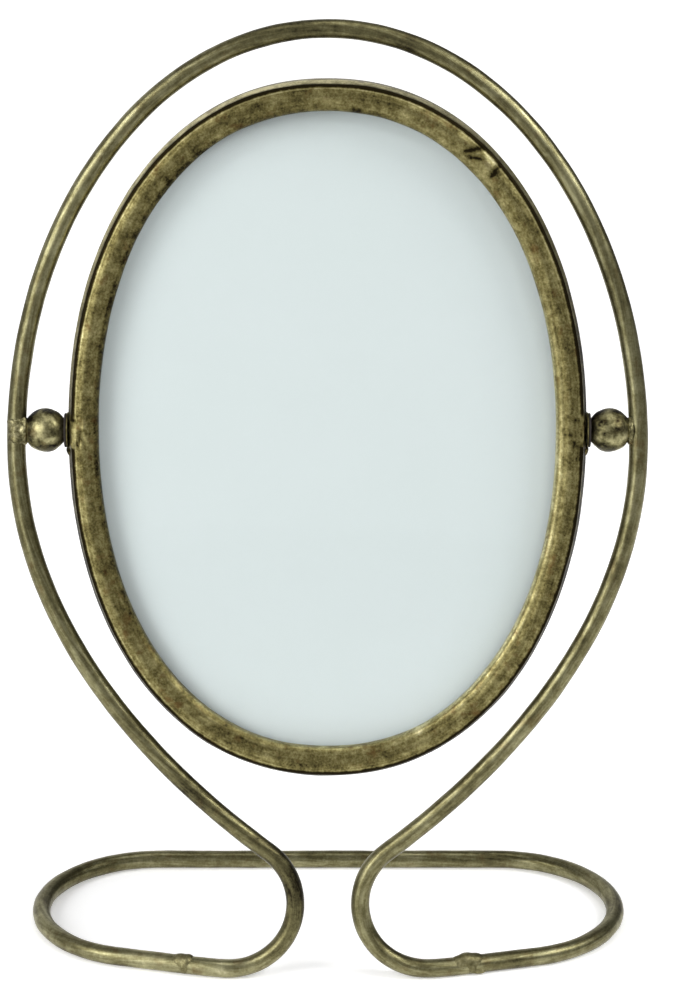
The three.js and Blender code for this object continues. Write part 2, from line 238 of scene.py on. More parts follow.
def store(piece: Piece, name: str, values: Sequence[float] | Sequence[Vector]) -> None:
    """Store one value for each vertex, for the finish to read.

    Args:
        piece: The mesh object.
        name: The attribute's name.
        values: Numbers or vectors, in the order of the vertices.
    """
    vectors = isinstance(values[0], Vector)
    attribute = piece.data.attributes.get(name)
    if attribute is None:
        attribute = piece.data.attributes.new(name, "FLOAT_VECTOR" if vectors else "FLOAT", "POINT")
    flat = [number for value in values for number in value] if vectors else values
    attribute.data.foreach_set("vector" if vectors else "value", flat)


def apply_modifier(piece: Piece, kind: str, **settings: object) -> None:
    """Add a modifier, set it and apply it.

    Args:
        piece: The object to change.
        kind: Blender's name for the modifier.
        settings: Values of the modifier's properties.
    """
    pick(piece)
    modifier = piece.modifiers.new(kind.title(), kind)
    for name, value in settings.items():
        setattr(modifier, name, value)
    bpy.ops.object.modifier_apply(modifier=modifier.name)


def cut_away(piece: Piece, cutter: Piece) -> None:
    """Cut a piece with another object, and remove that."""
    apply_modifier(piece, "BOOLEAN", operation="DIFFERENCE", object=cutter, solver="EXACT")
    bpy.data.objects.remove(cutter)


def roughen(piece: Piece, grain: float, relief: float, weights: Sequence[float] = ()) -> None:
    """Raise and sink a surface a little, as handwork leaves it.

    Args:
        piece: The object to change.
        grain: Size of the bumps.
        relief: Height from the lowest to the highest.
        weights: Share of the relief for each vertex, or nothing for the same all over.
    """
    clouds = bpy.data.textures.new(f"{piece.name}_clouds", "CLOUDS")
    clouds.noise_scale = grain
    limits = {}
    if weights:
        worked = piece.vertex_groups.new(name="worked")
        for i, weight in enumerate(weights):
            if weight > 0:
                worked.add([i], weight, "REPLACE")
        limits = {"vertex_group": worked.name}
    apply_modifier(
        piece, "DISPLACE", texture=clouds, strength=relief, mid_level=0.5, texture_coords="LOCAL", **limits
    )


def tidy_mesh(piece: Piece) -> None:
    """Merge doubled vertices and turn all faces outwards.

    Args:
        piece: The object to tidy.
    """
    with editing(piece):
        bpy.ops.mesh.select_all(action="SELECT")
        bpy.ops.mesh.remove_doubles(threshold=MERGED)
        bpy.ops.mesh.normals_make_consistent(inside=False)


def set_down(piece: Piece, **moves: Sequence[float] | Vector) -> Piece:
    """Move a piece, and put its place, turn and scale into its mesh.

    Args:
        piece: The object to move.
        moves: New values of its location, rotation_euler and scale.

    Returns:
        The piece.
    """
    for name, value in moves.items():
        setattr(piece, name, value)
    pick(piece)
    mirrored = piece.scale.x * piece.scale.y * piece.scale.z < 0
    bpy.ops.object.transform_apply(location=True, rotation=True, scale=True)
    if mirrored:
        tidy_mesh(piece)
    return piece


def stand_up(piece: Piece) -> None:
    """Turn a piece from the bench into the leaning plane of the hoop, with the tilt axis at the pivots."""
    set_down(piece, rotation_euler=STOOD_UP, location=PIVOT)


def copy_of(piece: Piece) -> Piece:
    """Duplicate a piece with a mesh of its own.

    Args:
        piece: The object to copy.

    Returns:
        The copy.
    """
    pick(piece)
    bpy.ops.object.duplicate()
    return bpy.context.object


def join(pieces: Sequence[Piece]) -> Piece:
    """Join several objects into the first.

    Args:
        pieces: The objects to join.

    Returns:
        The joined object.
    """
    pick(pieces[0])
    for piece in pieces:
        piece.select_set(True)
    bpy.ops.object.join()
    return bpy.context.object


def smooth(piece: Piece, degrees: float = 35) -> None:
    """Shade a piece smooth, with edges sharper than an angle left crisp."""
    pick(piece)
    bpy.ops.object.shade_smooth_by_angle(angle=math.radians(degrees))


def hand_over(piece: Piece, name: str, node: str, body: str, finish: bpy.types.Material) -> None:
    """Name a finished piece, give it its finish and set it in the frame in place of its solid.

    Args:
        piece: The finished object.
        name: Its name.
        node: The solid that it stands for.
        body: The body that it rides on.
        finish: Its material.
    """
    piece.name = name
    piece.data.name = name
    piece.data.materials.clear()
    piece.data.materials.append(finish)
    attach(piece, body)
    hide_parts(node)
    LOG.info("%s stands for %s on %s, %d faces", name, node, body, len(piece.data.polygons))


# Finishes

def linear(hex_colour: str) -> tuple[float, float, float, float]:
    """Turn an sRGB hex colour to linear light.

    Args:
        hex_colour: A colour such as "#80774a".

    Returns:
        Red, green, blue and alpha.
    """
    channels = [int(hex_colour[i : i + 2], 16) / 255 for i in (1, 3, 5)]
    values = [c / 12.92 if c <= 0.04045 else ((c + 0.055) / 1.055) ** 2.4 for c in channels]
    return (values[0], values[1], values[2], 1.0)


def add_node(
    tree: bpy.types.NodeTree,
    kind: str,
    inputs: dict | None = None,
    settings: dict | None = None,
    stops: Sequence[tuple[float, str]] = (),
    output: str = "",
) -> bpy.types.NodeSocket | None:
    """Add a shader node with its settings and links.

    Args:
        tree: The node tree.
        kind: Blender's name for the node, without its prefix.
        inputs: Values for the inputs, by name or number. An output socket is linked.
        settings: Values of the node's properties.
        stops: Places and hex colours along a colour ramp.
        output: Name of the output to return, or nothing for the first that is in use.

    Returns:
        The output, or nothing for a node that has none.
    """
    node = tree.nodes.new(f"ShaderNode{kind}")
    for name, value in (settings or {}).items():
        setattr(node, name, value)
    for socket, value in (inputs or {}).items():
        if isinstance(value, bpy.types.NodeSocket):
            tree.links.new(value, node.inputs[socket])
        else:
            node.inputs[socket].default_value = value
    for index, (place, colour) in enumerate(stops):
        ends = {0: 0, len(stops) - 1: -1}
        ramp = node.color_ramp.elements
        element = ramp[ends[index]] if index in ends else ramp.new(place)
        element.position = place
        element.color = linear(colour)
    if output:
        return node.outputs[output]
    return next((socket for socket in node.outputs if socket.enabled), None)


def new_material(name: str) -> tuple[bpy.types.Material, Callable[..., bpy.types.NodeSocket]]:
    """Start a material with an empty node tree.

    Args:
        name: The material's name.

    Returns:
        The material, and add_node for its tree.
    """
    material = bpy.data.materials.new(name)
    material.use_nodes = True
    material.node_tree.nodes.clear()
    return material, partial(add_node, material.node_tree)


@dataclass(frozen=True)
class AgedBrass:
    """Brass, darkened by patina and rubbed back by hand where it stands proud.

    The eye sees olive metal with a broad sheen, fine dark speckle, brown spots and pale arrises; where a
    piece carries them, painted highlights raise the tone and painted shade lowers it.
    Real speckle and brush streaks are about 0.1 mm wide. They are drawn coarser, so that they show.
    """

    name: str
    patina: str = "#1f1a0d"
    shaded: str = "#6a623c"
    worn: str = "#999163"
    bright: str = "#d9d0a0"
    tone_stops: tuple[float, ...] = (0.05, 0.36, 0.66, 1.0)
    spot: str = "#5b4425"
    base_tone: float = 0.39
    patch_size: float = 8 * MM
    patch_share: float = 0.12
    patch_edge: float = 0.2
    mottle_size: float = 2.6 * MM
    mottle_share: float = 0.17
    streak_size: float = 0.8 * MM
    streak_share: float = 0.09
    speckle_size: float = 0.6 * MM
    speckle_share: float = 0.15
    fine_edge: float = 0.2
    detail: float = 3.0
    fineness: float = 0.6
    rubbed_share: float = 0.42
    grime_share: float = 0.75
    spot_size: float = 3.5 * MM
    spot_share: float = 0.7
    spot_edges: Flat = (0.58, 0.72)
    relief: float = 0.08 * MM
    bump: float = 0.7
    roughness_bright: float = 0.37
    roughness_dull: float = 0.54

    def material(self) -> bpy.types.Material:
        """Build the material.

        Returns:
            The material, which reads the attributes of rubbing with painted highlight and of grime with
            painted shade, where a piece has them.
        """
        material, add = new_material(self.name)
        place = add("TexCoord", output="Object")
        brushed = add("Attribute", settings={"attribute_name": BRUSH_RUN}, output="Vector")
        tone = self.base_tone
        for vector, size, edge, share in (
            (place, self.patch_size, self.patch_edge, self.patch_share),
            (place, self.mottle_size, self.fine_edge, self.mottle_share),
            (brushed, self.streak_size, self.fine_edge, self.streak_share),
            (place, self.speckle_size, self.fine_edge, self.speckle_share),
        ):
            look = {"Vector": vector, "Scale": 1 / size, "Detail": self.detail, "Roughness": self.fineness}
            spread = {"From Min": 0.5 - edge, "From Max": 0.5 + edge, "To Min": -share, "To Max": share}
            layer = add("MapRange", {"Value": add("TexNoise", look), **spread})
            tone = add("Math", {0: tone, 1: layer}, {"operation": "ADD"})
        height = tone
        # Rubbing and painted highlight raise the tone, grime and painted shade lower it
        rubbed, grime = (
            add("Attribute", settings={"attribute_name": name}, output="Fac") for name in (RUBBED_AND_HIGHLIGHT, GRIME_AND_SHADE)
        )
        for wear_and_light, share in ((rubbed, self.rubbed_share), (grime, -self.grime_share)):
            tone = add("Math", {0: wear_and_light, 1: share, 2: tone}, {"operation": "MULTIPLY_ADD"})
        tones = zip(self.tone_stops, (self.patina, self.shaded, self.worn, self.bright))
        colour = add("ValToRGB", {"Fac": tone}, stops=tuple(tones))
        spots = add("TexNoise", {"Vector": place, "Scale": 1 / self.spot_size, "Detail": self.detail})
        most = add("Math", {0: self.spot_share, 1: grime}, {"operation": "SUBTRACT"})
        start, full = self.spot_edges
        spotted = add(
            "MapRange", {"Value": spots, "From Min": start, "From Max": full, "To Min": 0.0, "To Max": most}
        )
        colour = add(
            "Mix", {FACTOR: spotted, COLOUR_A: colour, COLOUR_B: linear(self.spot)}, {"data_type": "RGBA"}
        )
        roughness = add(
            "MapRange", {"Value": tone, "To Min": self.roughness_dull, "To Max": self.roughness_bright}
        )
        bump = add("Bump", {"Height": height, "Distance": self.relief, "Strength": self.bump})
        surface = {"Base Color": colour, "Metallic": 1.0, "Roughness": roughness, "Normal": bump}
        add("OutputMaterial", {"Surface": add("BsdfPrincipled", surface)})
        return material


@dataclass(frozen=True)
class FloatGlass:
    """Clear float glass, polished: the eye sees what lies behind it and a faint reflection."""

    name: str = "float_glass_clear"
    tint: str = "#fdfefe"
    roughness: float = 0.02
    ior: float = 1.5

    def material(self) -> bpy.types.Material:
        """Build the material.

        Returns:
            The material, which lets light from lamps and soft light through to the print.
        """
        material, add = new_material(self.name)
        tint = linear(self.tint)
        body = {"Base Color": tint, "Roughness": self.roughness, "IOR": self.ior, "Transmission Weight": 1.0}
        pane = add("BsdfPrincipled", body)
        clear = add("BsdfTransparent", {"Color": tint})
        lamps, soft = (add("LightPath", output=ray) for ray in ("Is Shadow Ray", "Is Diffuse Ray"))
        passing = add("Math", {0: lamps, 1: soft}, {"operation": "MAXIMUM"})
        add("OutputMaterial", {"Surface": add("MixShader", {0: passing, 1: pane, 2: clear})})
        return material


@dataclass(frozen=True)
class MattSheet:
    """Paper, board or fibre: a matt surface with two close tones, a grain and a faint relief.

    The fibres of such sheets are some hundredths of a millimetre wide.
    The grain is drawn coarser, so that it shows.
    """

    name: str
    light: str
    dark: str
    grain_size: float
    cloud_size: float
    relief: float
    roughness: float
    clouding: float = 0.5
    tone_edges: Flat = (0.3, 0.7)
    bump: float = 0.6

    def material(self) -> bpy.types.Material:
        """Build the material.

        Returns:
            The material.
        """
        material, add = new_material(self.name)
        place = add("TexCoord", output="Object")
        grain = add("TexNoise", {"Vector": place, "Scale": 1 / self.grain_size, "Detail": 3.0})
        clouds = add("TexNoise", {"Vector": place, "Scale": 1 / self.cloud_size, "Detail": 2.0})
        tone = add("Mix", {FACTOR: self.clouding, NUMBER_A: grain, NUMBER_B: clouds}, {"data_type": "FLOAT"})
        least, most = self.tone_edges
        tone = add("MapRange", {"Value": tone, "From Min": least, "From Max": most})
        tones = {COLOUR_A: linear(self.dark), COLOUR_B: linear(self.light)}
        colour = add("Mix", {FACTOR: tone, **tones}, {"data_type": "RGBA"})
        bump = add("Bump", {"Height": grain, "Distance": self.relief, "Strength": self.bump})
        surface = {"Base Color": colour, "Roughness": self.roughness, "Normal": bump}
        add("OutputMaterial", {"Surface": add("BsdfPrincipled", surface)})
        return material


@dataclass(frozen=True)
class ZincPlate:
    """Steel strip, pressed and zinc plated: cool grey metal with faint crystals and rolling lines.

    The crystals of a thin plating are finer than 0.1 mm. They are drawn coarser, so that they show.
    """

    name: str = "zinc_plated_steel"
    light: str = "#c9cac8"
    dark: str = "#8f9190"
    crystal_size: float = 2.2 * MM
    scratch_size: float = 0.4 * MM
    scratch_share: float = 0.55
    relief: float = 0.02 * MM
    bump: float = 0.5
    roughness_dull: float = 0.5
    roughness_bright: float = 0.32

    def material(self) -> bpy.types.Material:
        """Build the material.

        Returns:
            The material.
        """
        material, add = new_material(self.name)
        place = add("TexCoord", output="Object")
        crystals = add("TexVoronoi", {"Vector": place, "Scale": 1 / self.crystal_size}, output="Color")
        scratch = add("TexNoise", {"Vector": place, "Scale": 1 / self.scratch_size, "Detail": 2.0})
        facet = add("SeparateColor", {"Color": crystals}, output="Red")
        tone = add(
            "Mix", {FACTOR: self.scratch_share, NUMBER_A: facet, NUMBER_B: scratch}, {"data_type": "FLOAT"}
        )
        tones = {COLOUR_A: linear(self.dark), COLOUR_B: linear(self.light)}
        colour = add("Mix", {FACTOR: tone, **tones}, {"data_type": "RGBA"})
        roughness = add(
            "MapRange", {"Value": tone, "To Min": self.roughness_dull, "To Max": self.roughness_bright}
        )
        bump = add("Bump", {"Height": scratch, "Distance": self.relief, "Strength": self.bump})
        surface = {"Base Color": colour, "Metallic": 1.0, "Roughness": roughness, "Normal": bump}
        add("OutputMaterial", {"Surface": add("BsdfPrincipled", surface)})
        return material


@dataclass(frozen=True)
class Finishes:
    """The materials of the frame, built once."""

    ring_brass: bpy.types.Material
    rod_brass: bpy.types.Material
    ball_brass: bpy.types.Material
    braze: bpy.types.Material
    braze_filed: bpy.types.Material
    braze_dark: bpy.types.Material
    glass: bpy.types.Material
    paper: bpy.types.Material
    board: bpy.types.Material
    zinc: bpy.types.Material
    fibre: bpy.types.Material

    @classmethod
    def made(cls) -> "Finishes":
        """Build every material.

        Returns:
            The finishes.
        """
        # Brazing metal run on and rubbed over: a rough olive skin, dark in the hollows
        braze = AgedBrass(
            "braze_rubbed",
            patina="#262217",
            shaded="#6a6546",
            worn="#938d6a",
            bright="#c9c299",
            base_tone=0.42,
            patch_size=3 * MM,
            patch_share=0.2,
            mottle_size=1.2 * MM,
            spot_share=0.5,
            roughness_bright=0.36,
            roughness_dull=0.52,
        )
        # The same filed almost flush with the rod: smoother and more even
        braze_filed = replace(
            braze,
            name="braze_filed",
            patch_share=0.15,
            mottle_share=0.1,
            speckle_share=0.07,
            spot_share=0.3,
            relief=0.03 * MM,
            roughness_bright=0.4,
            roughness_dull=0.55,
        )
        # Brazing metal painted almost black as shade, for the bead that sits in shadow under the flange
        braze_dark = AgedBrass(
            "braze_painted_shade", base_tone=0.2, patch_size=3 * MM, mottle_size=1.2 * MM, roughness_bright=0.4
        )
        # Brass strip, antiqued and rubbed back: mottled olive with speckle and a broad sheen
        ring_brass = AgedBrass("brass_ring_antiqued")
        # Drawn brass rod, antiqued: long streaks and a narrow line of light
        rod_brass = AgedBrass(
            "brass_rod_antiqued",
            patina="#262217",
            shaded="#6a6546",
            worn="#999572",
            bright="#dad3ae",
            base_tone=0.43,
            patch_size=12 * MM,
            patch_share=0.14,
            mottle_share=0.08,
            streak_share=0.13,
            speckle_share=0.07,
            spot_share=0.3,
            relief=0.02 * MM,
            roughness_bright=0.31,
            roughness_dull=0.46,
        )
        # Turned brass ball, antiqued: large dark blotches on a bright round
        ball_brass = AgedBrass(
            "brass_ball_antiqued",
            patina="#1f1b12",
            shaded="#6a6546",
            worn="#a39d74",
            bright="#e2dab0",
            base_tone=0.43,
            patch_size=4.5 * MM,
            patch_share=0.27,
            patch_edge=0.1,
            mottle_share=0.14,
            speckle_share=0.08,
            spot_share=0.35,
            relief=0.03 * MM,
            roughness_bright=0.38,
            roughness_dull=0.52,
        )
        # Coated white paper: an even, cool white
        paper = MattSheet(
            "paper_coated_white",
            light="#d3dbdb",
            dark="#d1dad9",
            grain_size=0.5 * MM,
            cloud_size=30 * MM,
            relief=0.01 * MM,
            roughness=0.6,
        )
        # Fibre board faced with black paper: matt and a little cloudy
        board = MattSheet(
            "fibre_board_black_paper",
            light="#3a3632",
            dark="#211e1b",
            grain_size=0.6 * MM,
            cloud_size=14 * MM,
            relief=0.05 * MM,
            roughness=0.85,
            clouding=0.35,
        )
        # Vulcanised fibre, punched: a matt dark brown
        fibre = MattSheet(
            "vulcanised_fibre_brown",
            light="#2b221a",
            dark="#17110b",
            grain_size=0.4 * MM,
            cloud_size=3 * MM,
            relief=0.03 * MM,
            roughness=0.8,
        )
        return cls(
            ring_brass=ring_brass.material(),
            rod_brass=rod_brass.material(),
            ball_brass=ball_brass.material(),
            braze=braze.material(),
            braze_filed=braze_filed.material(),
            braze_dark=braze_dark.material(),
            glass=FloatGlass().material(),
            paper=paper.material(),
            board=board.material(),
            zinc=ZincPlate().material(),
            fibre=fibre.material(),
        )


# Picture

@dataclass(frozen=True)
class Oval:
    """The picture's oval, a little fuller than an ellipse, and how far it hangs below the pivots."""

    width: float = 130 * MM
    height: float = 180 * MM
    exponent: float = 2.16
    drop: float = 0.0
    sides: int = 720

    def point(self, turn: float, offset: float) -> Vector:
        """Point of the oval lying on the bench, moved outwards.

        Args:
            turn: Angle round the oval, from its right end.
            offset: How far to move out.

        Returns:
            The point.
        """
        across, up = math.cos(turn), math.sin(turn)
        power = 2 / self.exponent
        x = self.width / 2 * signed_power(across, power)
        y = self.height / 2 * signed_power(up, power)
        lean = (signed_power(across, 2 - power) / self.width, signed_power(up, 2 - power) / self.height, 0)
        return Vector((x, y, 0)) + offset * Vector(lean).normalized()

    def brush_run(self, spot: Vector) -> Vector:
        """Place of a point of the ring in a pattern that is drawn out along the ring.

        Args:
            spot: The point on the bench.

        Returns:
            Its place in the pattern.
        """
        across = spot.xy.normalized()
        round_run = BRUSH_STRETCH * (self.width + self.height) / 4
        return Vector((round_run * across.x, round_run * across.y, self.outside_by(spot) - spot.z))

    def outside_by(self, spot: Vector) -> float:
        """Distance of a point out past the oval, measured from the middle.

        Args:
            spot: The point on the bench.

        Returns:
            The distance, negative inside.
        """
        across = spot.xy.normalized()
        wide = (2 * abs(across.x) / self.width) ** self.exponent
        high = (2 * abs(across.y) / self.height) ** self.exponent
        return spot.xy.length - (wide + high) ** (-1 / self.exponent)

    def settle(self, piece: Piece) -> None:
        """Move a piece on the bench from the oval's middle to where it hangs on the pivots."""
        set_down(piece, location=(0, -self.drop, 0))

    def sheet(self, offset: float, height: float) -> Piece:
        """Add an oval face on the bench, facing up.

        Args:
            offset: How far it reaches out past the picture's oval.
            height: Its height over the tilt axis.

        Returns:
            The new object.
        """
        bpy.ops.mesh.primitive_circle_add(vertices=self.sides, radius=1, fill_type="NGON")
        sheet = bpy.context.object
        for vertex in sheet.data.vertices:
            vertex.co = self.point(math.atan2(vertex.co.y, vertex.co.x), offset)
            vertex.co.z = height
        return sheet

    def plate(self, back: float, front: float, edge: float) -> Piece:
        """Make an oval plate with softened edges on the bench.

        Args:
            back: Height of its underside.
            front: Height of its top.
            edge: Width of the softened edge.

        Returns:
            The plate.
        """
        plate = self.sheet(0, back)
        with editing(plate):
            bpy.ops.mesh.select_all(action="SELECT")
            draw_out((0, 0, front - back))
            choose(plate, Element.EDGE, lambda middle, run: abs(run.z) < edge / 2)
            bpy.ops.mesh.bevel(offset=edge, segments=3, affect="EDGES")
            choose(plate, Element.FACE, lambda middle, normal: abs(normal.z) > 0.999)
            bpy.ops.mesh.inset(thickness=edge, depth=0)
        tidy_mesh(plate)
        smooth(plate)
        return plate


@dataclass(frozen=True)
class ProfileStep:
    """One loop of the bezel's profile: how far in and up it lies from the last, its rubbing with painted
    highlight and its grime with painted shade.
    """

    inwards: float
    rise: float
    rubbed: float = 0.0
    grime: float = 0.0


@dataclass(frozen=True)
class RingWearAndLight:
    """How bright the bezel is rubbed and painted as highlight, and how dark it is left and painted as shade,
    over its profile and round the oval; the painted light falls from the upper left.
    """

    # The leaning side: a painted pale reflection at the upper left, painted shade elsewhere
    lean_rubbed: float = 1.3
    lean_grime: float = 0.5
    # Painted shade: a dark line along the outer rounding
    rounding_grime: tuple[float, ...] = (0.7, 0.9, 0.9, 0.8, 0.3, 0.0)
    # The face's outer edge: rubbing with a painted highlight, brightest at the upper left
    edge_rubbed: float = 0.9
    # The inner edge: a painted highlight towards the lower right, painted shade at the left
    inner_rubbed: Flat = (0.5, 1.1)
    inner_grime: float = 0.32
    outer_level: float = 0.75
    outer_slope: float = 0.25
    outer_unworn: Flat = (0.94, -0.34)
    inner_worn: Flat = (0.95, -0.3)
    bare_level: float = 0.5
    bare_slope: float = 1.6

    def outer(self, across: Vector) -> float:
        """Share of the painted highlight that the outer edge gets, as if lit from the upper left: most at
        the upper left, least at the right.

        Args:
            across: Direction from the oval's middle.

        Returns:
            The share.
        """
        unlit = max(0.0, across.dot(Vector(self.outer_unworn)))
        return max(0.0, self.outer_level + self.outer_slope * across.y - self.outer_level * unlit**2)

    def inner(self, across: Vector) -> float:
        """Share of the painted highlight that the inner edge gets: most at the lower right, none across from
        there, where the inner edge gets painted shade instead.
        """
        return max(0.0, 0.5 + 0.5 * across.dot(Vector(self.inner_worn)))

    def bare(self, across: Vector) -> float:
        """Share of the leaning side painted as a pale reflection: most at the upper left, none below."""
        upper = min(max(self.bare_level + self.bare_slope * across.y, 0), 1)
        return self.outer(across) ** 2 * upper


@dataclass
class PictureRing:
    """The bezel in front and the band behind it."""

    oval: Oval
    finishes: Finishes
    wear_and_light: RingWearAndLight = RingWearAndLight()
    overlap: float = 5.75 * MM
    outside: float = 2.35 * MM
    front: float = 6 * MM
    back: float = 2 * MM
    band_inside: float = 0.5 * MM
    band_front: float = 1.7 * MM
    band_back: float = -7 * MM
    band_lip: float = 0.4 * MM
    lean_rise: float = 2.8 * MM
    lean_run: float = 0.9 * MM
    lean_steps: int = 3
    outer_round: float = 0.6 * MM
    outer_run: float = 1.15 * MM
    inner_round: float = 2 * MM
    round_steps: int = 6
    crown: float = 0.5 * MM
    face_loops: int = 12
    crease: float = 50
    dent_size: float = 14 * MM
    dent_depth: float = 0.35 * MM
    seam_ends: tuple[tuple[Flat, Flat], ...] = (
        ((41.1 * MM, 75.0 * MM), (35.5 * MM, 74.2 * MM)),
        ((37.0 * MM, 72.6 * MM), (39.8 * MM, 72.2 * MM)),
        ((45.0 * MM, 71.0 * MM), (42.5 * MM, 67.8 * MM)),
    )
    seam_depth: float = 0.4 * MM
    seam_width: float = 0.5 * MM
    seam_grime: float = 0.7
    patch_middle: Flat = (42.2 * MM, 71.6 * MM)
    patch_radius: float = 2.2 * MM
    patch_rubbed: float = 1.2
    weld_reach: float = 7 * MM
    weld_half_height: float = 4.6 * MM
    weld_squareness: int = 4
    weld_gain: float = 2.4
    weld_raggedness: float = 2.0
    weld_fill: float = 0.75
    weld_grain: float = 1.1 * MM
    weld_relief: float = 1.6 * MM
    weld_grime: float = 1.2
    weld_rubbed: float = 0.35
    right_weld_share: float = 0.25

    @property
    def face_edge(self) -> float:
        """Height of the face's edges, below its crown."""
        return self.front - self.crown

    @property
    def round_level(self) -> float:
        """Height at which the leaning side ends and the outer rounding starts."""
        return self.face_edge - self.outer_round

    def profile(self) -> list[ProfileStep]:
        """Work out the bezel's loops from its outer side to its inner wall.

        Returns:
            The steps in order.
        """
        wear_and_light = self.wear_and_light
        lean = ProfileStep(self.lean_run / self.lean_steps, self.lean_rise / self.lean_steps)
        steps = [lean] * self.lean_steps
        angles = [math.pi / 2 * i / self.round_steps for i in range(self.round_steps + 1)]
        arcs = list(enumerate(zip(angles, angles[1:]), start=1))
        for i, (a, b) in arcs:
            inwards = self.outer_run * (math.cos(a) - math.cos(b))
            rise = self.outer_round * (math.sin(b) - math.sin(a))
            # The face's outer edge gets rubbing with a painted highlight
            rubbed = wear_and_light.edge_rubbed if i == self.round_steps else 0.0
            # The outer rounding gets a painted shade line
            steps.append(ProfileStep(inwards, rise, rubbed, wear_and_light.rounding_grime[i - 1]))
        flat = self.overlap + self.outside - self.lean_run - self.outer_run - self.inner_round
        for i in range(self.face_loops):
            before, after = (self.crown * math.sin(math.pi * k / self.face_loops) for k in (i, i + 1))
            steps.append(ProfileStep(flat / self.face_loops, after - before))
        # The inner rounding gets a painted highlight, scaled round the oval later
        upper, lower = wear_and_light.inner_rubbed
        for i, (a, b) in arcs:
            inwards = self.inner_round * (math.sin(b) - math.sin(a))
            rise = self.inner_round * (math.cos(b) - math.cos(a))
            steps.append(ProfileStep(inwards, rise, upper if i <= self.round_steps / 2 else lower))
        return steps

    def bezel(self) -> None:
        """Model the bezel, an oval sheet raised, inset loop by loop and opened, and set it in the frame."""
        bezel = self.oval.sheet(self.outside, self.back)
        with editing(bezel):
            bpy.ops.mesh.select_all(action="SELECT")
            draw_out((0, 0, self.face_edge - self.back - self.lean_rise - self.outer_round))
            for step in self.profile():
                bpy.ops.mesh.inset(thickness=step.inwards, depth=step.rise, use_even_offset=True)
                # Each loop's rubbing carries painted highlight and its grime painted shade
                paint_selected(bezel, RUBBED_AND_HIGHLIGHT, step.rubbed)
                paint_selected(bezel, GRIME_AND_SHADE, step.grime)
            half_wall = (self.face_edge - self.back - self.inner_round) / 2
            for _ in range(2):
                draw_out((0, 0, -half_wall))
            open_middle(bezel)
        tidy_mesh(bezel)
        self.work_face(bezel)
        store(bezel, BRUSH_RUN, [self.oval.brush_run(vertex.co) for vertex in bezel.data.vertices])
        roughen(bezel, self.dent_size, self.dent_depth)
        smooth(bezel, self.crease)
        self.oval.settle(bezel)
        stand_up(bezel)
        hand_over(bezel, "front_bezel", "bezel", Body.PICTURE.value, self.finishes.ring_brass)

    def work_face(self, bezel: Piece) -> None:
        """Give the bezel its wear with painted highlights and painted shade, lay the rough weld patches
        beside the pivots and press in the closing seam.

        Args:
            bezel: The bezel on the bench.
        """
        rubbed, grime = self.worn(bezel)
        weights = self.lay_welds(bezel, grime)
        self.press_seams(bezel, rubbed, grime)
        rubbed = [max(share, self.weld_rubbed * weight) for share, weight in zip(rubbed, weights)]
        store(bezel, RUBBED_AND_HIGHLIGHT, rubbed)
        store(bezel, GRIME_AND_SHADE, grime)
        roughen(bezel, self.weld_grain, self.weld_relief, weights)

    def worn(self, bezel: Piece) -> tuple[list[float], list[float]]:
        """Work out how bright and how dark each vertex of the bezel is, with its wear, painted highlights
        and painted shade.

        Args:
            bezel: The bezel on the bench, with its profile's wear and painted light stored on it.

        Returns:
            The rubbing with painted highlight and the grime with painted shade, in the order of the
            vertices.
        """
        wear_and_light = self.wear_and_light
        layers = (bezel.data.attributes[name].data for name in (RUBBED_AND_HIGHLIGHT, GRIME_AND_SHADE))
        rubbed, grime = ([stored.value for stored in layer] for layer in layers)
        face_middle = (self.outside - self.overlap) / 2
        inner_edge = self.inner_round / 2 - self.overlap
        for i, vertex in enumerate(bezel.data.vertices):
            across = vertex.co.xy.normalized()
            out = self.oval.outside_by(vertex.co)
            # Painted highlight: edges brightest on the side the light comes from
            rubbed[i] *= wear_and_light.outer(across) if out > face_middle else wear_and_light.inner(across)
            # Leaning side: painted pale reflection at the upper left, painted shade elsewhere
            if vertex.co.z < self.round_level and out > 0:
                bare = wear_and_light.bare(across)
                rubbed[i] = wear_and_light.lean_rubbed * bare
                grime[i] = wear_and_light.lean_grime * (1 - bare)
            # Inner edge: painted shade away from the lit side
            if out < inner_edge:
                grime[i] = wear_and_light.inner_grime * (1 - wear_and_light.inner(across))
        return rubbed, grime

    def lay_welds(self, bezel: Piece, grime: list[float]) -> list[float]:
        """Fill the outer rounding with weld beside the pivots, and darken its hollows.

        Args:
            bezel: The bezel on the bench.
            grime: Grime and painted shade of each vertex, which is changed.

        Returns:
            Share of the weld's relief that each vertex gets.
        """
        half_width = self.oval.width / 2 + self.outside
        edge_inside = half_width - self.lean_run - self.outer_run
        weights = []
        for i, vertex in enumerate(bezel.data.vertices):
            x, y, z = vertex.co
            inside = (abs(x) - half_width) / self.weld_reach + 1
            upright = 1 - (abs(y - self.oval.drop) / self.weld_half_height) ** self.weld_squareness
            weight = 0.0
            if inside > 0 and upright > 0:
                lumpy = noise.noise(vertex.co / self.weld_grain)
                gain = self.weld_gain + self.weld_raggedness * lumpy
                weight = min(1, gain * inside) * min(1, gain * upright)
                grime[i] = (1 - weight) * grime[i] + self.weld_grime * weight * max(0, -lumpy)
                if self.round_level < z < self.face_edge and abs(x) > edge_inside:
                    vertex.co.z += self.weld_fill * weight * (self.face_edge - z)
                if x > 0:
                    weight *= self.right_weld_share
            weights.append(weight)
        return weights

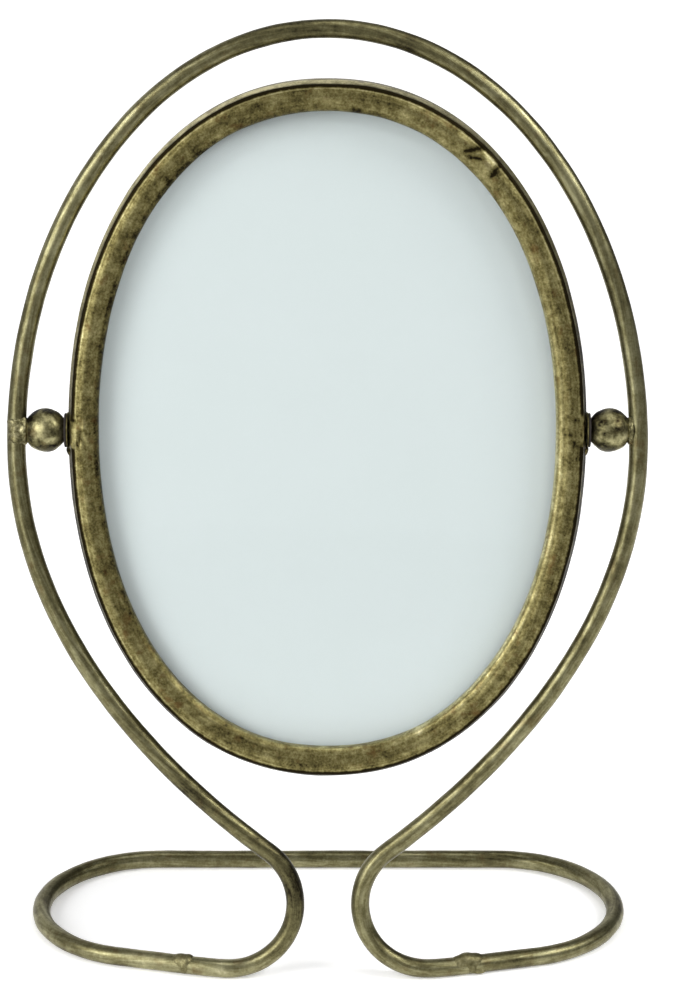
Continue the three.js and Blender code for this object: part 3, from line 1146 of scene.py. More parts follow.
    def press_seams(self, bezel: Piece, rubbed: list[float], grime: list[float]) -> None:
        """Press the seams of the closing weld into the face, with a bright patch beside them.

        Args:
            bezel: The bezel on the bench.
            rubbed: Rubbing and painted highlight of each vertex, which is changed.
            grime: Grime and painted shade of each vertex, which is changed.
        """
        flat_level = self.face_edge - self.outer_round / 2
        seams = [(Vector(start), Vector(end) - Vector(start)) for start, end in self.seam_ends]
        patch = Vector(self.patch_middle)
        for i, vertex in enumerate(bezel.data.vertices):
            if vertex.co.z <= flat_level:
                continue
            spot = vertex.co.xy
            rubbed[i] += self.patch_rubbed * fade((spot - patch).length, self.patch_radius)
            for start, run in seams:
                share = min(max((spot - start).dot(run) / run.length_squared, 0), 1)
                near = fade((spot - start - share * run).length, self.seam_width)
                vertex.co.z -= self.seam_depth * near
                grime[i] = max(grime[i], self.seam_grime * near)

    def band(self, slots: Sequence[Matrix], slot_size: Vector) -> None:
        """Model the band behind the bezel, open it for the turn buttons' tips and set it in the frame.

        Args:
            slots: Place and turn of each opening on the bench.
            slot_size: Size of each opening.
        """
        band = self.oval.sheet(self.outside, self.band_back)
        depth = self.band_front - self.band_back
        with editing(band):
            bpy.ops.mesh.select_all(action="SELECT")
            draw_out((0, 0, depth))
            bpy.ops.mesh.inset(thickness=self.outside - self.band_inside, depth=0, use_even_offset=True)
            draw_out((0, 0, -depth))
            open_middle(band)
            choose(band, Element.EDGE, self.on_back_rim)
            bpy.ops.mesh.bevel(offset=self.band_lip, segments=3, affect="EDGES")
        tidy_mesh(band)
        self.oval.settle(band)
        cutters = []
        for place in slots:
            bpy.ops.mesh.primitive_cube_add(size=1)
            bpy.context.object.matrix_world = place @ Matrix.Diagonal((*slot_size, 1))
            cutters.append(bpy.context.object)
        cut_away(band, set_down(join(cutters)))
        lift = Vector((0, self.oval.drop, 0))
        store(band, BRUSH_RUN, [self.oval.brush_run(vertex.co + lift) for vertex in band.data.vertices])
        smooth(band)
        stand_up(band)
        hand_over(band, "back_band", "rear_band", Body.PICTURE.value, self.finishes.ring_brass)

    def on_back_rim(self, middle: Vector, run: Vector) -> bool:
        """Tell whether an edge runs round the band's back rim, and not across its flat.

        Args:
            middle: The edge's middle.
            run: The edge's run.

        Returns:
            True on the rim.
        """
        near = self.band_lip / 4
        level = abs(middle.z - self.band_back) < near and abs(run.z) < near
        return level and abs(middle.xy.dot(run.xy)) < 0.5 * middle.xy.length * run.xy.length


@dataclass(frozen=True)
class Plate:
    """One plate of the picture: its name, its solid, its heights, its softened edge and its slot."""

    name: str
    node: str
    back: float
    front: float
    edge: float
    slot: Slot


@dataclass
class PicturePack:
    """What the ring holds: glass, print and back board."""

    oval: Oval
    finishes: Finishes
    glass: Plate = Plate("glass_oval", "glass_pane", -0.3 * MM, 1.7 * MM, 0.3 * MM, Slot.GLASS)
    paper: Plate = Plate("print_oval", "photo_print", -0.9 * MM, -0.6 * MM, 0.05 * MM, Slot.PRINT)
    board: Plate = Plate("fibre_back", "back_board", -4.2 * MM, -1.2 * MM, 0.4 * MM, Slot.BOARD)

    def build(self) -> None:
        """Model the three plates and set them in the frame."""
        for plate, finish in (
            (self.glass, self.finishes.glass),
            (self.paper, self.finishes.paper),
            (self.board, self.finishes.board),
        ):
            piece = self.oval.plate(plate.back, plate.front, plate.edge)
            self.oval.settle(piece)
            stand_up(piece)
            hand_over(piece, plate.name, plate.node, Body.PICTURE.value, finish)


@dataclass
class TurnButtons:
    """Pressed steel clips on rivets that hold the back board in the band."""

    oval: Oval
    finishes: Finishes
    turns: tuple[float, ...] = (56, 124, 236, 304)
    inset: float = 11 * MM
    band_inside: float = 0.5 * MM
    band_wall: float = 1.85 * MM
    tip_reach: float = 1.2 * MM
    width: float = 7 * MM
    tail: float = 9 * MM
    thickness: float = 0.8 * MM
    tab_height: float = 2 * MM
    front: float = -4.5 * MM
    edge: float = 0.15 * MM
    tip_round: float = 0.98
    tail_corner: float = 1.2 * MM
    crease: float = 40
    rivet_head: float = 6 * MM
    rivet_rise: float = 0.9 * MM
    rivet_dome: float = 0.8
    shank_length: float = 3.2 * MM
    round_sides: int = 40
    clearance: float = 0.5 * MM
    gap: float = 0.3 * MM
    running_gap: float = 0.25 * MM

    @property
    def arm(self) -> float:
        """Distance from the rivet to the tip."""
        return self.inset + self.band_inside + self.tip_reach

    @property
    def back(self) -> float:
        """Level of the clip's back."""
        return self.front - self.thickness

    @property
    def middle(self) -> float:
        """Level of the clip's middle."""
        return self.front - self.thickness / 2

    @property
    def shank_radius(self) -> float:
        """Radius of the rivet under its head."""
        return self.rivet_head / 4

    @property
    def still(self) -> float:
        """Reach of an opening on the side that the tip doesn't swing to."""
        return self.width / 2 + self.clearance

    @property
    def swing(self) -> float:
        """Reach of an opening on the side that the tip leaves by.

        Returns:
            The reach.
        """
        tip_middle = self.arm - self.width / 2
        wall = self.inset + self.band_inside
        leaving = math.acos((wall - self.width / 2) / tip_middle)
        return tip_middle * math.sin(leaving) + self.width / 2 + self.clearance

    def seat(self, degrees: float) -> Matrix:
        """Place of a rivet on the bench, turned so that X points at the band.

        Args:
            degrees: Turn round the oval.

        Returns:
            The place.
        """
        turn = math.radians(degrees)
        middle = self.oval.point(turn, -self.inset)
        outwards = self.oval.point(turn, 0) - middle
        return Matrix.Translation(middle) @ Matrix.Rotation(math.atan2(outwards.y, outwards.x), 4, "Z")

    def slot_size(self) -> Vector:
        """Size of an opening for a tip, deep enough to cut right through the wall."""
        return Vector((3 * self.band_wall, self.swing + self.still, self.thickness + 2 * self.gap))

    def slots(self) -> list[Matrix]:
        """Work out the places of the openings in the band.

        Returns:
            Place and turn of each on the bench.
        """
        wall = self.inset + self.band_inside + self.band_wall / 2
        shift = Matrix.Translation((wall, (self.swing - self.still) / 2, self.middle))
        return [self.seat(degrees) @ shift for degrees in self.turns]

    def button(self) -> Piece:
        """Model one clip: a strip rounded at its tip, with a finger tab turned up at its tail.

        Returns:
            The clip on the bench, with its rivet at the origin and its back down.
        """
        half = self.width / 2
        side = half * 0.9
        tab_start = self.thickness - self.tail
        corner_level = self.back - self.tab_height / 3
        long = self.thickness / 2
        bpy.ops.mesh.primitive_cube_add(size=1)
        clip = set_down(
            bpy.context.object,
            scale=(self.arm + self.tail, self.width, self.thickness),
            location=((self.arm - self.tail) / 2, 0, self.middle),
        )
        with editing(clip):
            bpy.ops.mesh.select_all(action="SELECT")
            bpy.ops.mesh.bisect(plane_co=(tab_start, 0, 0), plane_no=(1, 0, 0), use_fill=False)
            choose(clip, Element.EDGE, lambda middle, run: abs(run.z) > long and middle.x > self.arm - MM)
            bpy.ops.mesh.bevel(offset=half * self.tip_round, segments=12, affect="EDGES")
            choose(clip, Element.FACE, lambda middle, normal: normal.z < -0.9 and middle.x < tab_start)
            draw_out((0, 0, -self.tab_height))
            choose(
                clip,
                Element.EDGE,
                lambda middle, run: middle.z < corner_level and abs(middle.y) > side and abs(run.x) > long,
            )
            bpy.ops.mesh.bevel(offset=self.tail_corner, segments=5, affect="EDGES")
        tidy_mesh(clip)
        bpy.ops.mesh.primitive_cylinder_add(
            vertices=self.round_sides, radius=self.shank_radius + self.running_gap, depth=6 * self.thickness
        )
        cut_away(clip, set_down(bpy.context.object, location=(0, 0, self.middle)))
        apply_modifier(clip, "BEVEL", width=self.edge, segments=2, limit_method="ANGLE")
        smooth(clip, self.crease)
        apply_modifier(clip, "WEIGHTED_NORMAL", keep_sharp=True)
        return clip

    def rivet(self) -> Piece:
        """Model one rivet with a low domed head.

        Returns:
            The rivet on the bench, over the origin.
        """
        seat = self.back - self.gap
        dome_level = seat - self.rivet_rise + self.rivet_rise / 4
        bpy.ops.mesh.primitive_cylinder_add(
            vertices=self.round_sides, radius=self.rivet_head / 2, depth=self.rivet_rise
        )
        rivet = set_down(bpy.context.object, location=(0, 0, seat - self.rivet_rise / 2))
        with editing(rivet):
            choose(rivet, Element.EDGE, lambda middle, run: middle.z < dome_level)
            bpy.ops.mesh.bevel(
                offset=self.rivet_rise * self.rivet_dome, segments=6, profile=0.55, affect="EDGES"
            )
            choose(rivet, Element.FACE, lambda middle, normal: normal.z > 0.9)
            bpy.ops.mesh.inset(thickness=self.rivet_head / 2 - self.shank_radius, depth=0)
            draw_out((0, 0, self.shank_length))
        tidy_mesh(rivet)
        smooth(rivet, self.crease)
        return rivet

    def build(self) -> None:
        """Copy the clip and the rivet to their four places, and set them in the frame."""
        clip, rivet = self.button(), self.rivet()
        for index, degrees in enumerate(self.turns, start=1):
            button = f"turn_button_{index}"
            for master, name, node, body in (
                (clip, f"turn_clip_{index}", button, button),
                (rivet, f"clip_rivet_{index}", f"button_rivet_{index}", Body.PICTURE.value),
            ):
                piece = copy_of(master)
                piece.matrix_world = self.seat(degrees)
                stand_up(set_down(piece))
                hand_over(piece, name, node, body, self.finishes.zinc)
        for master in (clip, rivet):
            bpy.data.objects.remove(master)


# Braze and pivots

@dataclass(frozen=True)
class Blob:
    """One run of braze: where it lies and how far it reaches each way."""

    middle: Point
    reach: Point


def braze_lump(blobs: Sequence[Blob], grain: float, relief: float) -> Piece:
    """Run blobs of braze together into one lump with a rough skin.

    Args:
        blobs: The runs.
        grain: Size of the skin's bumps.
        relief: Height of the skin's bumps.

    Returns:
        The lump, lying where its blobs lie.
    """
    runs = []
    for blob in blobs:
        bpy.ops.mesh.primitive_uv_sphere_add(segments=32, ring_count=20, radius=1)
        runs.append(set_down(bpy.context.object, scale=blob.reach, location=blob.middle))
    lump = join(runs)
    apply_modifier(lump, "REMESH", mode="VOXEL", voxel_size=BRAZE_VOXEL)
    apply_modifier(lump, "SMOOTH", factor=0.5, iterations=12)
    roughen(lump, grain, relief)
    tidy_mesh(lump)
    smooth(lump, 80)
    return lump


@dataclass
class BallPivots:
    """The two pivots: a flanged pin on the ring turns in a ball that is brazed to the hoop."""

    finishes: Finishes
    flange_start: float = 68.2 * MM
    flange_thickness: float = 0.25 * MM
    flange_radius: float = 4.75 * MM
    flange_edge: float = 0.08 * MM
    flange_dents: Flat = (3 * MM, 0.06 * MM)
    bead_x: float = 68.05 * MM
    bead_skin: Flat = (1.4 * MM, 0.4 * MM)
    pin_radius: float = 2 * MM
    pin_length: float = 7.6 * MM
    washer_radius: float = 4.5 * MM
    washer_thickness: float = 0.6 * MM
    washer_edge: float = 0.12 * MM
    running_gap: float = 0.1 * MM
    ball_radius: float = 5.75 * MM
    ball_ring_flat: float = 0.8 * MM
    ball_hoop_flat: float = 1 * MM
    ball_dents: Flat = (4 * MM, 0.5 * MM)
    hole_depth: float = 7.4 * MM
    top_level: float = 0.3
    # Painted dark reflection of the room over the ball's top, and a dark spot at its front
    top_grime: float = 0.25
    tarnish_shift: Flat = (-0.8 * MM, -0.6 * MM)
    tarnish_reach: float = 1.6 * MM
    tarnish_grime: float = 0.35
    rod_radius: float = 2.5 * MM
    hoop_x: float = 81.84 * MM
    hoop_bulge: float = 0.3 * MM
    hoop_skin: Flat = (2.2 * MM, 0.4 * MM)

    @property
    def washer_start(self) -> float:
        """Distance out to the washer."""
        return self.flange_start + self.flange_thickness + self.running_gap

    @property
    def ball_start(self) -> float:
        """Distance out to the ball's flat towards the ring."""
        return self.washer_start + self.washer_thickness + self.running_gap

    @property
    def ball_middle(self) -> float:
        """Distance out to the ball's middle."""
        return self.ball_start + self.ball_radius - self.ball_ring_flat

    @property
    def ball_end(self) -> float:
        """Distance out to the ball's flat towards the hoop."""
        return self.ball_middle + self.ball_radius - self.ball_hoop_flat

    def ball(self) -> Piece:
        """Model the right ball: flat towards the washer and the hoop, with a blind hole for the pin.

        Returns:
            The ball on the bench.
        """
        bpy.ops.mesh.primitive_uv_sphere_add(segments=64, ring_count=40, radius=self.ball_radius)
        ball = set_down(bpy.context.object, rotation_euler=ON_TILT_AXIS, location=(self.ball_middle, 0, 0))
        flat_radius = math.sqrt(self.ball_radius**2 - (self.ball_middle - self.ball_start) ** 2)
        with editing(ball):
            for x, outwards in ((self.ball_start, -1), (self.ball_end, 1)):
                bpy.ops.mesh.select_all(action="SELECT")
                bpy.ops.mesh.bisect(
                    plane_co=(x, 0, 0),
                    plane_no=(outwards, 0, 0),
                    use_fill=True,
                    clear_outer=True,
                    threshold=ON_CUT,
                )
            choose(ball, Element.FACE, lambda middle, normal: middle.x < self.ball_start + SAME_LEVEL)
            bpy.ops.mesh.inset(thickness=flat_radius - self.pin_radius - self.running_gap, depth=0)
            draw_out((self.hole_depth, 0, 0))
        tidy_mesh(ball)
        self.tarnish(ball)
        smooth(ball)
        return ball

    def tarnish(self, ball: Piece) -> None:
        """Darken the ball's top as a painted reflection of the dark room above, darken a spot at its front,
        and dent its skin.

        Args:
            ball: The ball on the bench.
        """
        middle = Vector((self.ball_middle, 0, 0))
        aside, down = self.tarnish_shift
        spot = Vector((self.ball_middle + aside, down, self.ball_radius))
        skin = self.ball_radius - SAME_LEVEL
        grime, outside = [], []
        for vertex in ball.data.vertices:
            top = min(max(vertex.co.y / self.ball_radius - self.top_level, 0) / self.top_level, 1)
            near = fade((vertex.co - spot).length, self.tarnish_reach)
            # The top is painted dark as a reflection of the room above; the front spot is darkened too
            grime.append(self.top_grime * top + self.tarnish_grime * near)
            on_skin = (vertex.co - middle).length > skin and vertex.co.x > self.ball_start + self.running_gap
            outside.append(float(on_skin))
        store(ball, GRIME_AND_SHADE, grime)
        roughen(ball, *self.ball_dents, outside)

    def turned(self, start: float, thickness: float, radius: float, edge: float) -> Piece:
        """Turn a disc on the tilt axis with softened edges.

        Args:
            start: Distance out to its inner face.
            thickness: Its thickness.
            radius: Its radius.
            edge: Width of the softened edges.

        Returns:
            The disc on the bench.
        """
        bpy.ops.mesh.primitive_cylinder_add(vertices=64, radius=radius, depth=thickness)
        place = (start + thickness / 2, 0, 0)
        disc = set_down(bpy.context.object, rotation_euler=ON_TILT_AXIS, location=place)
        with editing(disc):
            choose(disc, Element.EDGE, lambda middle, run: abs(run.x) < thickness / 2)
            bpy.ops.mesh.bevel(offset=edge, segments=3, affect="EDGES")
        return disc

    def washer(self) -> Piece:
        """Model the right friction washer.

        Returns:
            The washer on the bench.
        """
        washer = self.turned(self.washer_start, self.washer_thickness, self.washer_radius, self.washer_edge)
        hole = self.pin_radius + self.running_gap
        with editing(washer):
            choose(washer, Element.FACE, lambda middle, normal: abs(normal.x) > 0.99)
            bpy.ops.mesh.inset(thickness=self.washer_radius - self.washer_edge - hole, depth=0)
            open_middle(washer)
        tidy_mesh(washer)
        smooth(washer)
        return washer

    def flanged_pin(self) -> Piece:
        """Model the right trunnion: a flange with a pin that runs in the ball.

        Returns:
            The trunnion on the bench.
        """
        flange = self.turned(self.flange_start, self.flange_thickness, self.flange_radius, self.flange_edge)
        face = self.flange_start + self.flange_thickness - SAME_LEVEL
        with editing(flange):
            choose(flange, Element.FACE, lambda middle, normal: normal.x > 0.99 and middle.x > face)
            bpy.ops.mesh.inset(thickness=self.flange_radius - self.flange_edge - self.pin_radius, depth=0)
            draw_out((self.pin_length, 0, 0))
        tidy_mesh(flange)
        roughen(flange, *self.flange_dents)
        smooth(flange)
        return flange

    def hoop_braze(self, side: Side) -> Piece:
        """Model the braze between a ball and the hoop's rod, on the bench at the right.

        Args:
            side: Which pivot it is for. The left lump runs round the rod, the right one only fills corners.

        Returns:
            The lump on the bench.
        """
        neck = self.ball_end + 0.7 * MM
        blobs = [
            Blob((neck, 0.2 * MM, 0), (1.6 * MM, 3.3 * MM, 3.2 * MM)),
            Blob((neck + 0.4 * MM, 2.6 * MM, 0.5 * MM), (1.3 * MM, 1.5 * MM, 1.7 * MM)),
            Blob((neck + 0.3 * MM, -2.7 * MM, 0.4 * MM), (1.2 * MM, 1.4 * MM, 1.6 * MM)),
        ]
        if side is Side.LEFT:
            x, bulge = self.hoop_x - self.hoop_bulge, self.hoop_bulge
            thick = self.rod_radius + bulge
            blobs += [
                Blob((x, 0, bulge / 2), (thick, 3.9 * MM, thick)),
                Blob((x, 2.2 * MM, bulge), (thick, 1.6 * MM, thick)),
                Blob((x, -2.3 * MM, bulge), (thick, 1.5 * MM, thick)),
            ]
        return braze_lump(blobs, *self.hoop_skin)

    def flange_braze(self) -> Piece:
        """Model the bead of braze below the right flange.

        Returns:
            The bead on the bench.
        """
        x, y = self.bead_x, -self.flange_radius
        blobs = (
            Blob((x - 0.2 * MM, y - 0.4 * MM, 0), (0.9 * MM, 1.2 * MM, 3.2 * MM)),
            Blob((x - 0.8 * MM, y - 1.1 * MM, 1.4 * MM), (1.0 * MM, 1.1 * MM, 1.6 * MM)),
            Blob((x - 0.1 * MM, y - 0.2 * MM, -1.8 * MM), (0.8 * MM, 0.8 * MM, 2.0 * MM)),
        )
        return braze_lump(blobs, *self.bead_skin)

    def build(self) -> None:
        """Model the right pivot, and set it and its mirrored copy in the frame."""
        finishes = self.finishes
        stand, picture = Body.STAND.value, Body.PICTURE.value
        for master, name, node, body, slot, finish in (
            (self.ball(), "ball", "pivot_ball", stand, Slot.BRASS, finishes.ball_brass),
            (self.washer(), "fibre_washer", "pivot_washer", picture, Slot.FIBRE, finishes.fibre),
            (self.flanged_pin(), "flanged_pin", "trunnion", picture, Slot.BRASS, finishes.ring_brass),
            # The bead under the flange is painted almost black as shade
            (self.flange_braze(), "flange_braze", "flange_weld", picture, Slot.BRAZE, finishes.braze_dark),
        ):
            for side in Side:
                piece = set_down(copy_of(master), scale=(side.value, 1, 1))
                stand_up(piece)
                hand_over(piece, f"{name}_{side.word}", f"{node}_{side.word}", body, finish)
            bpy.data.objects.remove(master)
        for side in Side:
            lump = set_down(self.hoop_braze(side), scale=(side.value, 1, 1))
            stand_up(lump)
            node = f"hoop_weld_{side.word}"
            hand_over(lump, f"hoop_braze_{side.word}", node, stand, finishes.braze)


# Stand

@dataclass(frozen=True)
class Knot:
    """A point of a rod's bent line, with its handles."""

    point: Vector
    before: Vector
    after: Vector

    def mirrored(self) -> "Knot":
        """The knot on the other side, for a line that runs the other way."""
        flip = Vector((-1, 1, 1))
        return Knot(self.point * flip, self.after * flip, self.before * flip)


@dataclass(frozen=True)
class Stain:
    """A stretch of rod painted darker, or lighter where its depth is negative; most are painted shade and
    painted highlight.

    Its place is given in the hoop's plane.
    """

    x: float
    height: float
    reach: float
    depth: float


@dataclass
class RodStand:
    """The hoop with its curled feet, the looped base and the braze where they meet."""

    finishes: Finishes
    rod_radius: float = 2.5 * MM
    rod_dents: Flat = (9 * MM, 0.22 * MM)
    half_width: float = 81.93 * MM
    widest_height: float = 141.9 * MM
    rise: float = 110.05 * MM
    leg_side_handle: float = 48 * MM
    leg_foot_handle: float = 38.5 * MM
    leg_slope: float = math.radians(37.1)
    curl_radius: float = 18.1 * MM
    curl_spacing: float = 17.5 * MM
    hoop_steps: int = 64
    base_width: float = 161 * MM
    base_depth: float = 70 * MM
    end_radius: float = 32 * MM
    base_steps: int = 48
    bend_run: float = 3 * MM
    joint_run: float = 9 * MM
    joint_gap: float = 0.15 * MM
    joint_proud: float = 0.2 * MM
    joint_skin: Flat = (2.2 * MM, 0.1 * MM)
    tone_shifts: tuple[Stain, ...] = (
        # Painted shade over the top of the hoop
        Stain(0, 252 * MM, 28 * MM, 0.22),
        # Darker on the left leg
        Stain(-42 * MM, 57 * MM, 20 * MM, 0.22),
        # Painted shade on the inner side of the left curl
        Stain(-10 * MM, 24 * MM, 16 * MM, 0.36),
        # Painted highlight along the base's left front run
        Stain(-44 * MM, -2 * MM, 25 * MM, -0.2),
    )

    @property
    def front_y(self) -> float:
        """Depth of the curls' feet."""
        return -self.base_depth / 2

    @property
    def curl_middle(self) -> float:
        """Distance of a curl's middle from the middle of the frame."""
        return self.curl_spacing / 2 + self.curl_radius

    @property
    def end_middle(self) -> Vector:
        """Middle of the base's right round end."""
        x, y = self.base_width / 2 - self.end_radius, self.base_depth / 2 - self.end_radius
        return Vector((x, y, self.rod_radius))

    @property
    def bend(self) -> Vector:
        """Corner between the right curl and the base's front run."""
        return Vector((self.curl_middle + self.bend_run, self.front_y, self.rod_radius))

    @property
    def sweep(self) -> float:
        """Angle at which the front run sweeps back."""
        reach = (self.end_middle - self.bend).xy
        return math.atan2(reach.y, reach.x) - math.asin(self.end_radius / reach.length)

    def on_hoop(self, x: float, height: float) -> Vector:
        """Point in the hoop's leaning plane, from its distances to the right and up the plane."""
        return Vector((x, self.front_y + height * math.sin(LEAN), self.rod_radius + height * math.cos(LEAN)))

    def on_front_run(self, distance: float) -> Vector:
        """Point of the base's right front run, from its distance out from the bend."""
        return self.bend + distance * Vector((math.cos(self.sweep), math.sin(self.sweep), 0))

    def hoop_knots(self) -> list[Knot]:
        """Bend the hoop's line from its left end over the top to its right end.

        Returns:
            The knots in order.
        """
        at, radius, middle, slope = self.on_hoop, self.curl_radius, self.curl_middle, self.leg_slope
        wide, level = self.half_width, self.widest_height
        top = level + self.rise
        foot_x, foot_height = middle - radius * math.sin(slope), radius + radius * math.cos(slope)
        along = Vector((math.cos(slope), math.sin(slope)))
        quarter = math.pi / 2
        upper_arc, lower_arc = arc_handle(quarter - slope, radius), arc_handle(quarter, radius)
        crown_arc = arc_handle(quarter, wide)
        end = self.on_front_run(self.joint_run - self.joint_gap)
        curl_end = at(middle, 0)
        right = [
            Knot(
                at(wide, level),
                at(wide, level + arc_handle(quarter, self.rise)),
                at(wide, level - self.leg_side_handle),
            ),
            Knot(
                at(foot_x, foot_height),
                at(foot_x + self.leg_foot_handle * along.x, foot_height + self.leg_foot_handle * along.y),
                at(foot_x - upper_arc * along.x, foot_height - upper_arc * along.y),
            ),
            Knot(
                at(middle - radius, radius),
                at(middle - radius, radius + upper_arc),
                at(middle - radius, radius - lower_arc),
            ),
            Knot(curl_end, at(middle - lower_arc, 0), curl_end.lerp(self.bend, 2 / 3)),
            Knot(end, end.lerp(self.bend, 2 / 3), end),
        ]
        crown = Knot(at(0, top), at(-crown_arc, top), at(crown_arc, top))
        return [knot.mirrored() for knot in reversed(right)] + [crown] + right

    def base_knots(self) -> list[Knot]:
        """Bend the base's line from its left end round the back to its right end.

        Returns:
            The knots in order.
        """
        turn = math.pi - self.sweep
        handle = arc_handle(turn / 2, self.end_radius)
        right = []
        for share in (0, 0.5, 1):
            angle = math.pi / 2 - share * turn
            outwards = Vector((math.cos(angle), math.sin(angle), 0))
            onwards = Vector((math.sin(angle), -math.cos(angle), 0))
            point = self.end_middle + self.end_radius * outwards
            right.append(Knot(point, point - handle * onwards, point + handle * onwards))
        bar_end, _, run_start = right
        end = self.on_front_run(self.joint_run + self.joint_gap)
        right[0] = replace(bar_end, before=bar_end.point - Vector((self.end_radius, 0, 0)))
        right[2] = replace(run_start, after=run_start.point.lerp(end, 1 / 3))
        right.append(Knot(end, end.lerp(run_start.point, 1 / 3), end))
        return [knot.mirrored() for knot in reversed(right)] + right

    def rod(self, knots: Sequence[Knot], steps: int) -> Piece:
        """Draw a round rod along a bent line.

        Args:
            knots: The line.
            steps: Steps between knots.

        Returns:
            The rod as a mesh.
        """
        bpy.ops.curve.primitive_bezier_curve_add()
        rod = bpy.context.object
        line = rod.data
        line.dimensions = "3D"
        line.resolution_u = steps
        line.bevel_depth = self.rod_radius
        line.bevel_resolution = 6
        line.use_fill_caps = True
        spline = line.splines[0]
        spline.bezier_points.add(len(knots) - len(spline.bezier_points))
        for bent, knot in zip(spline.bezier_points, knots):
            bent.handle_left_type = bent.handle_right_type = "FREE"
            bent.co, bent.handle_left, bent.handle_right = knot.point, knot.before, knot.after
        pick(rod)
        bpy.ops.object.convert(target="MESH")
        rod = bpy.context.object
        tidy_mesh(rod)
        self.draw_brush_run(rod, knots, steps)
        # Darker and lighter stretches, mostly painted shade and highlight, go into the grime attribute
        store(rod, GRIME_AND_SHADE, [self.stain_at(vertex.co) for vertex in rod.data.vertices])
        roughen(rod, *self.rod_dents)
        smooth(rod)
        return rod

    def draw_brush_run(self, rod: Piece, knots: Sequence[Knot], steps: int) -> None:
        """Store each vertex's place in a pattern that is drawn out along the rod.

        Args:
            rod: The rod as a mesh.
            knots: Its line.
            steps: Steps between knots.
        """
        line = []
        for start, end in zip(knots, knots[1:]):
            line += interpolate_bezier(start.point, start.after, end.before, end.point, 2 * steps)
        lengths = [0.0]
        finder = KDTree(len(line))
        finder.insert(line[0], 0)
        for i in range(1, len(line)):
            lengths.append(lengths[-1] + (line[i] - line[i - 1]).length)
            finder.insert(line[i], i)
        finder.balance()
        places = []
        for vertex in rod.data.vertices:
            nearest, index, _ = finder.find(vertex.co)
            run = BRUSH_STRETCH * lengths[index]
            places.append(vertex.co - nearest + Vector((run, run, run)) / math.sqrt(3))
        store(rod, BRUSH_RUN, places)

    def stain_at(self, spot: Vector) -> float:
        """Depth of the darker and lighter stretches, mostly painted shade and highlight, at a point of the
        stand, as the finish reads it.
        """
        return sum(
            tone_shift.depth * fade((spot - self.on_hoop(tone_shift.x, tone_shift.height)).length, tone_shift.reach)
            for tone_shift in self.tone_shifts
        )

    def joint_braze(self, side: Side) -> Piece:
        """Model the lump of braze where the base meets the end of a curl.

        Args:
            side: Which side, since the two lumps differ.

        Returns:
            The lump in the frame.
        """
        proud = self.rod_radius + self.joint_proud
        filling = Blob((0, 0, 0.1 * MM), (3 * MM, proud, proud - 0.1 * MM))
        lumps = {
            Side.LEFT: (
                Blob((-1.3 * MM, 0, 0.7 * MM), (3.2 * MM, 2.4 * MM, 2.3 * MM)),
                Blob((0.6 * MM, 0, 0.8 * MM), (2.1 * MM, 2.4 * MM, 2.3 * MM)),
            ),
            Side.RIGHT: (
                Blob((-3.0 * MM, 0, 0.6 * MM), (3.0 * MM, 2.4 * MM, 2.3 * MM)),
                Blob((-1.0 * MM, 0, 1.2 * MM), (3.2 * MM, 2.4 * MM, 2.4 * MM)),
                Blob((1.0 * MM, 0, 0.9 * MM), (3.4 * MM, 2.4 * MM, 2.3 * MM)),
                Blob((2.2 * MM, -1.4 * MM, -1.3 * MM), (2.3 * MM, 1.3 * MM, 1.0 * MM)),
            ),
        }
        lump = braze_lump((filling, *lumps[side]), *self.joint_skin)
        place = self.on_front_run(self.joint_run)
        place.x *= side.value
        return set_down(lump, location=place, rotation_euler=(0, 0, side.value * self.sweep))

    def build(self) -> None:
        """Model the rods and their braze, and set them in the frame."""
        finishes = self.finishes
        for knots, steps, name, node in (
            (self.hoop_knots(), self.hoop_steps, "stand_hoop", "hoop_rod"),
            (self.base_knots(), self.base_steps, "stand_base", "base_rod"),
        ):
            rod = self.rod(knots, steps)
            hand_over(rod, name, node, Body.STAND.value, finishes.rod_brass)
        for side in Side:
            lump = self.joint_braze(side)
            name, node = f"joint_braze_{side.word}", f"joint_weld_{side.word}"
            hand_over(lump, name, node, Body.STAND.value, finishes.braze_filed)


# Studio

@dataclass(frozen=True)
class Lamp:
    """A soft lamp: where it stands, how wide it is and its power."""

    name: str
    place: Point
    size: Flat
    power: float


@dataclass(frozen=True)
class Glow:
    """A pale stretch of the room: which way it lies, where it starts and is full, and its light."""

    towards: Point
    edge: float
    full: float
    light: float


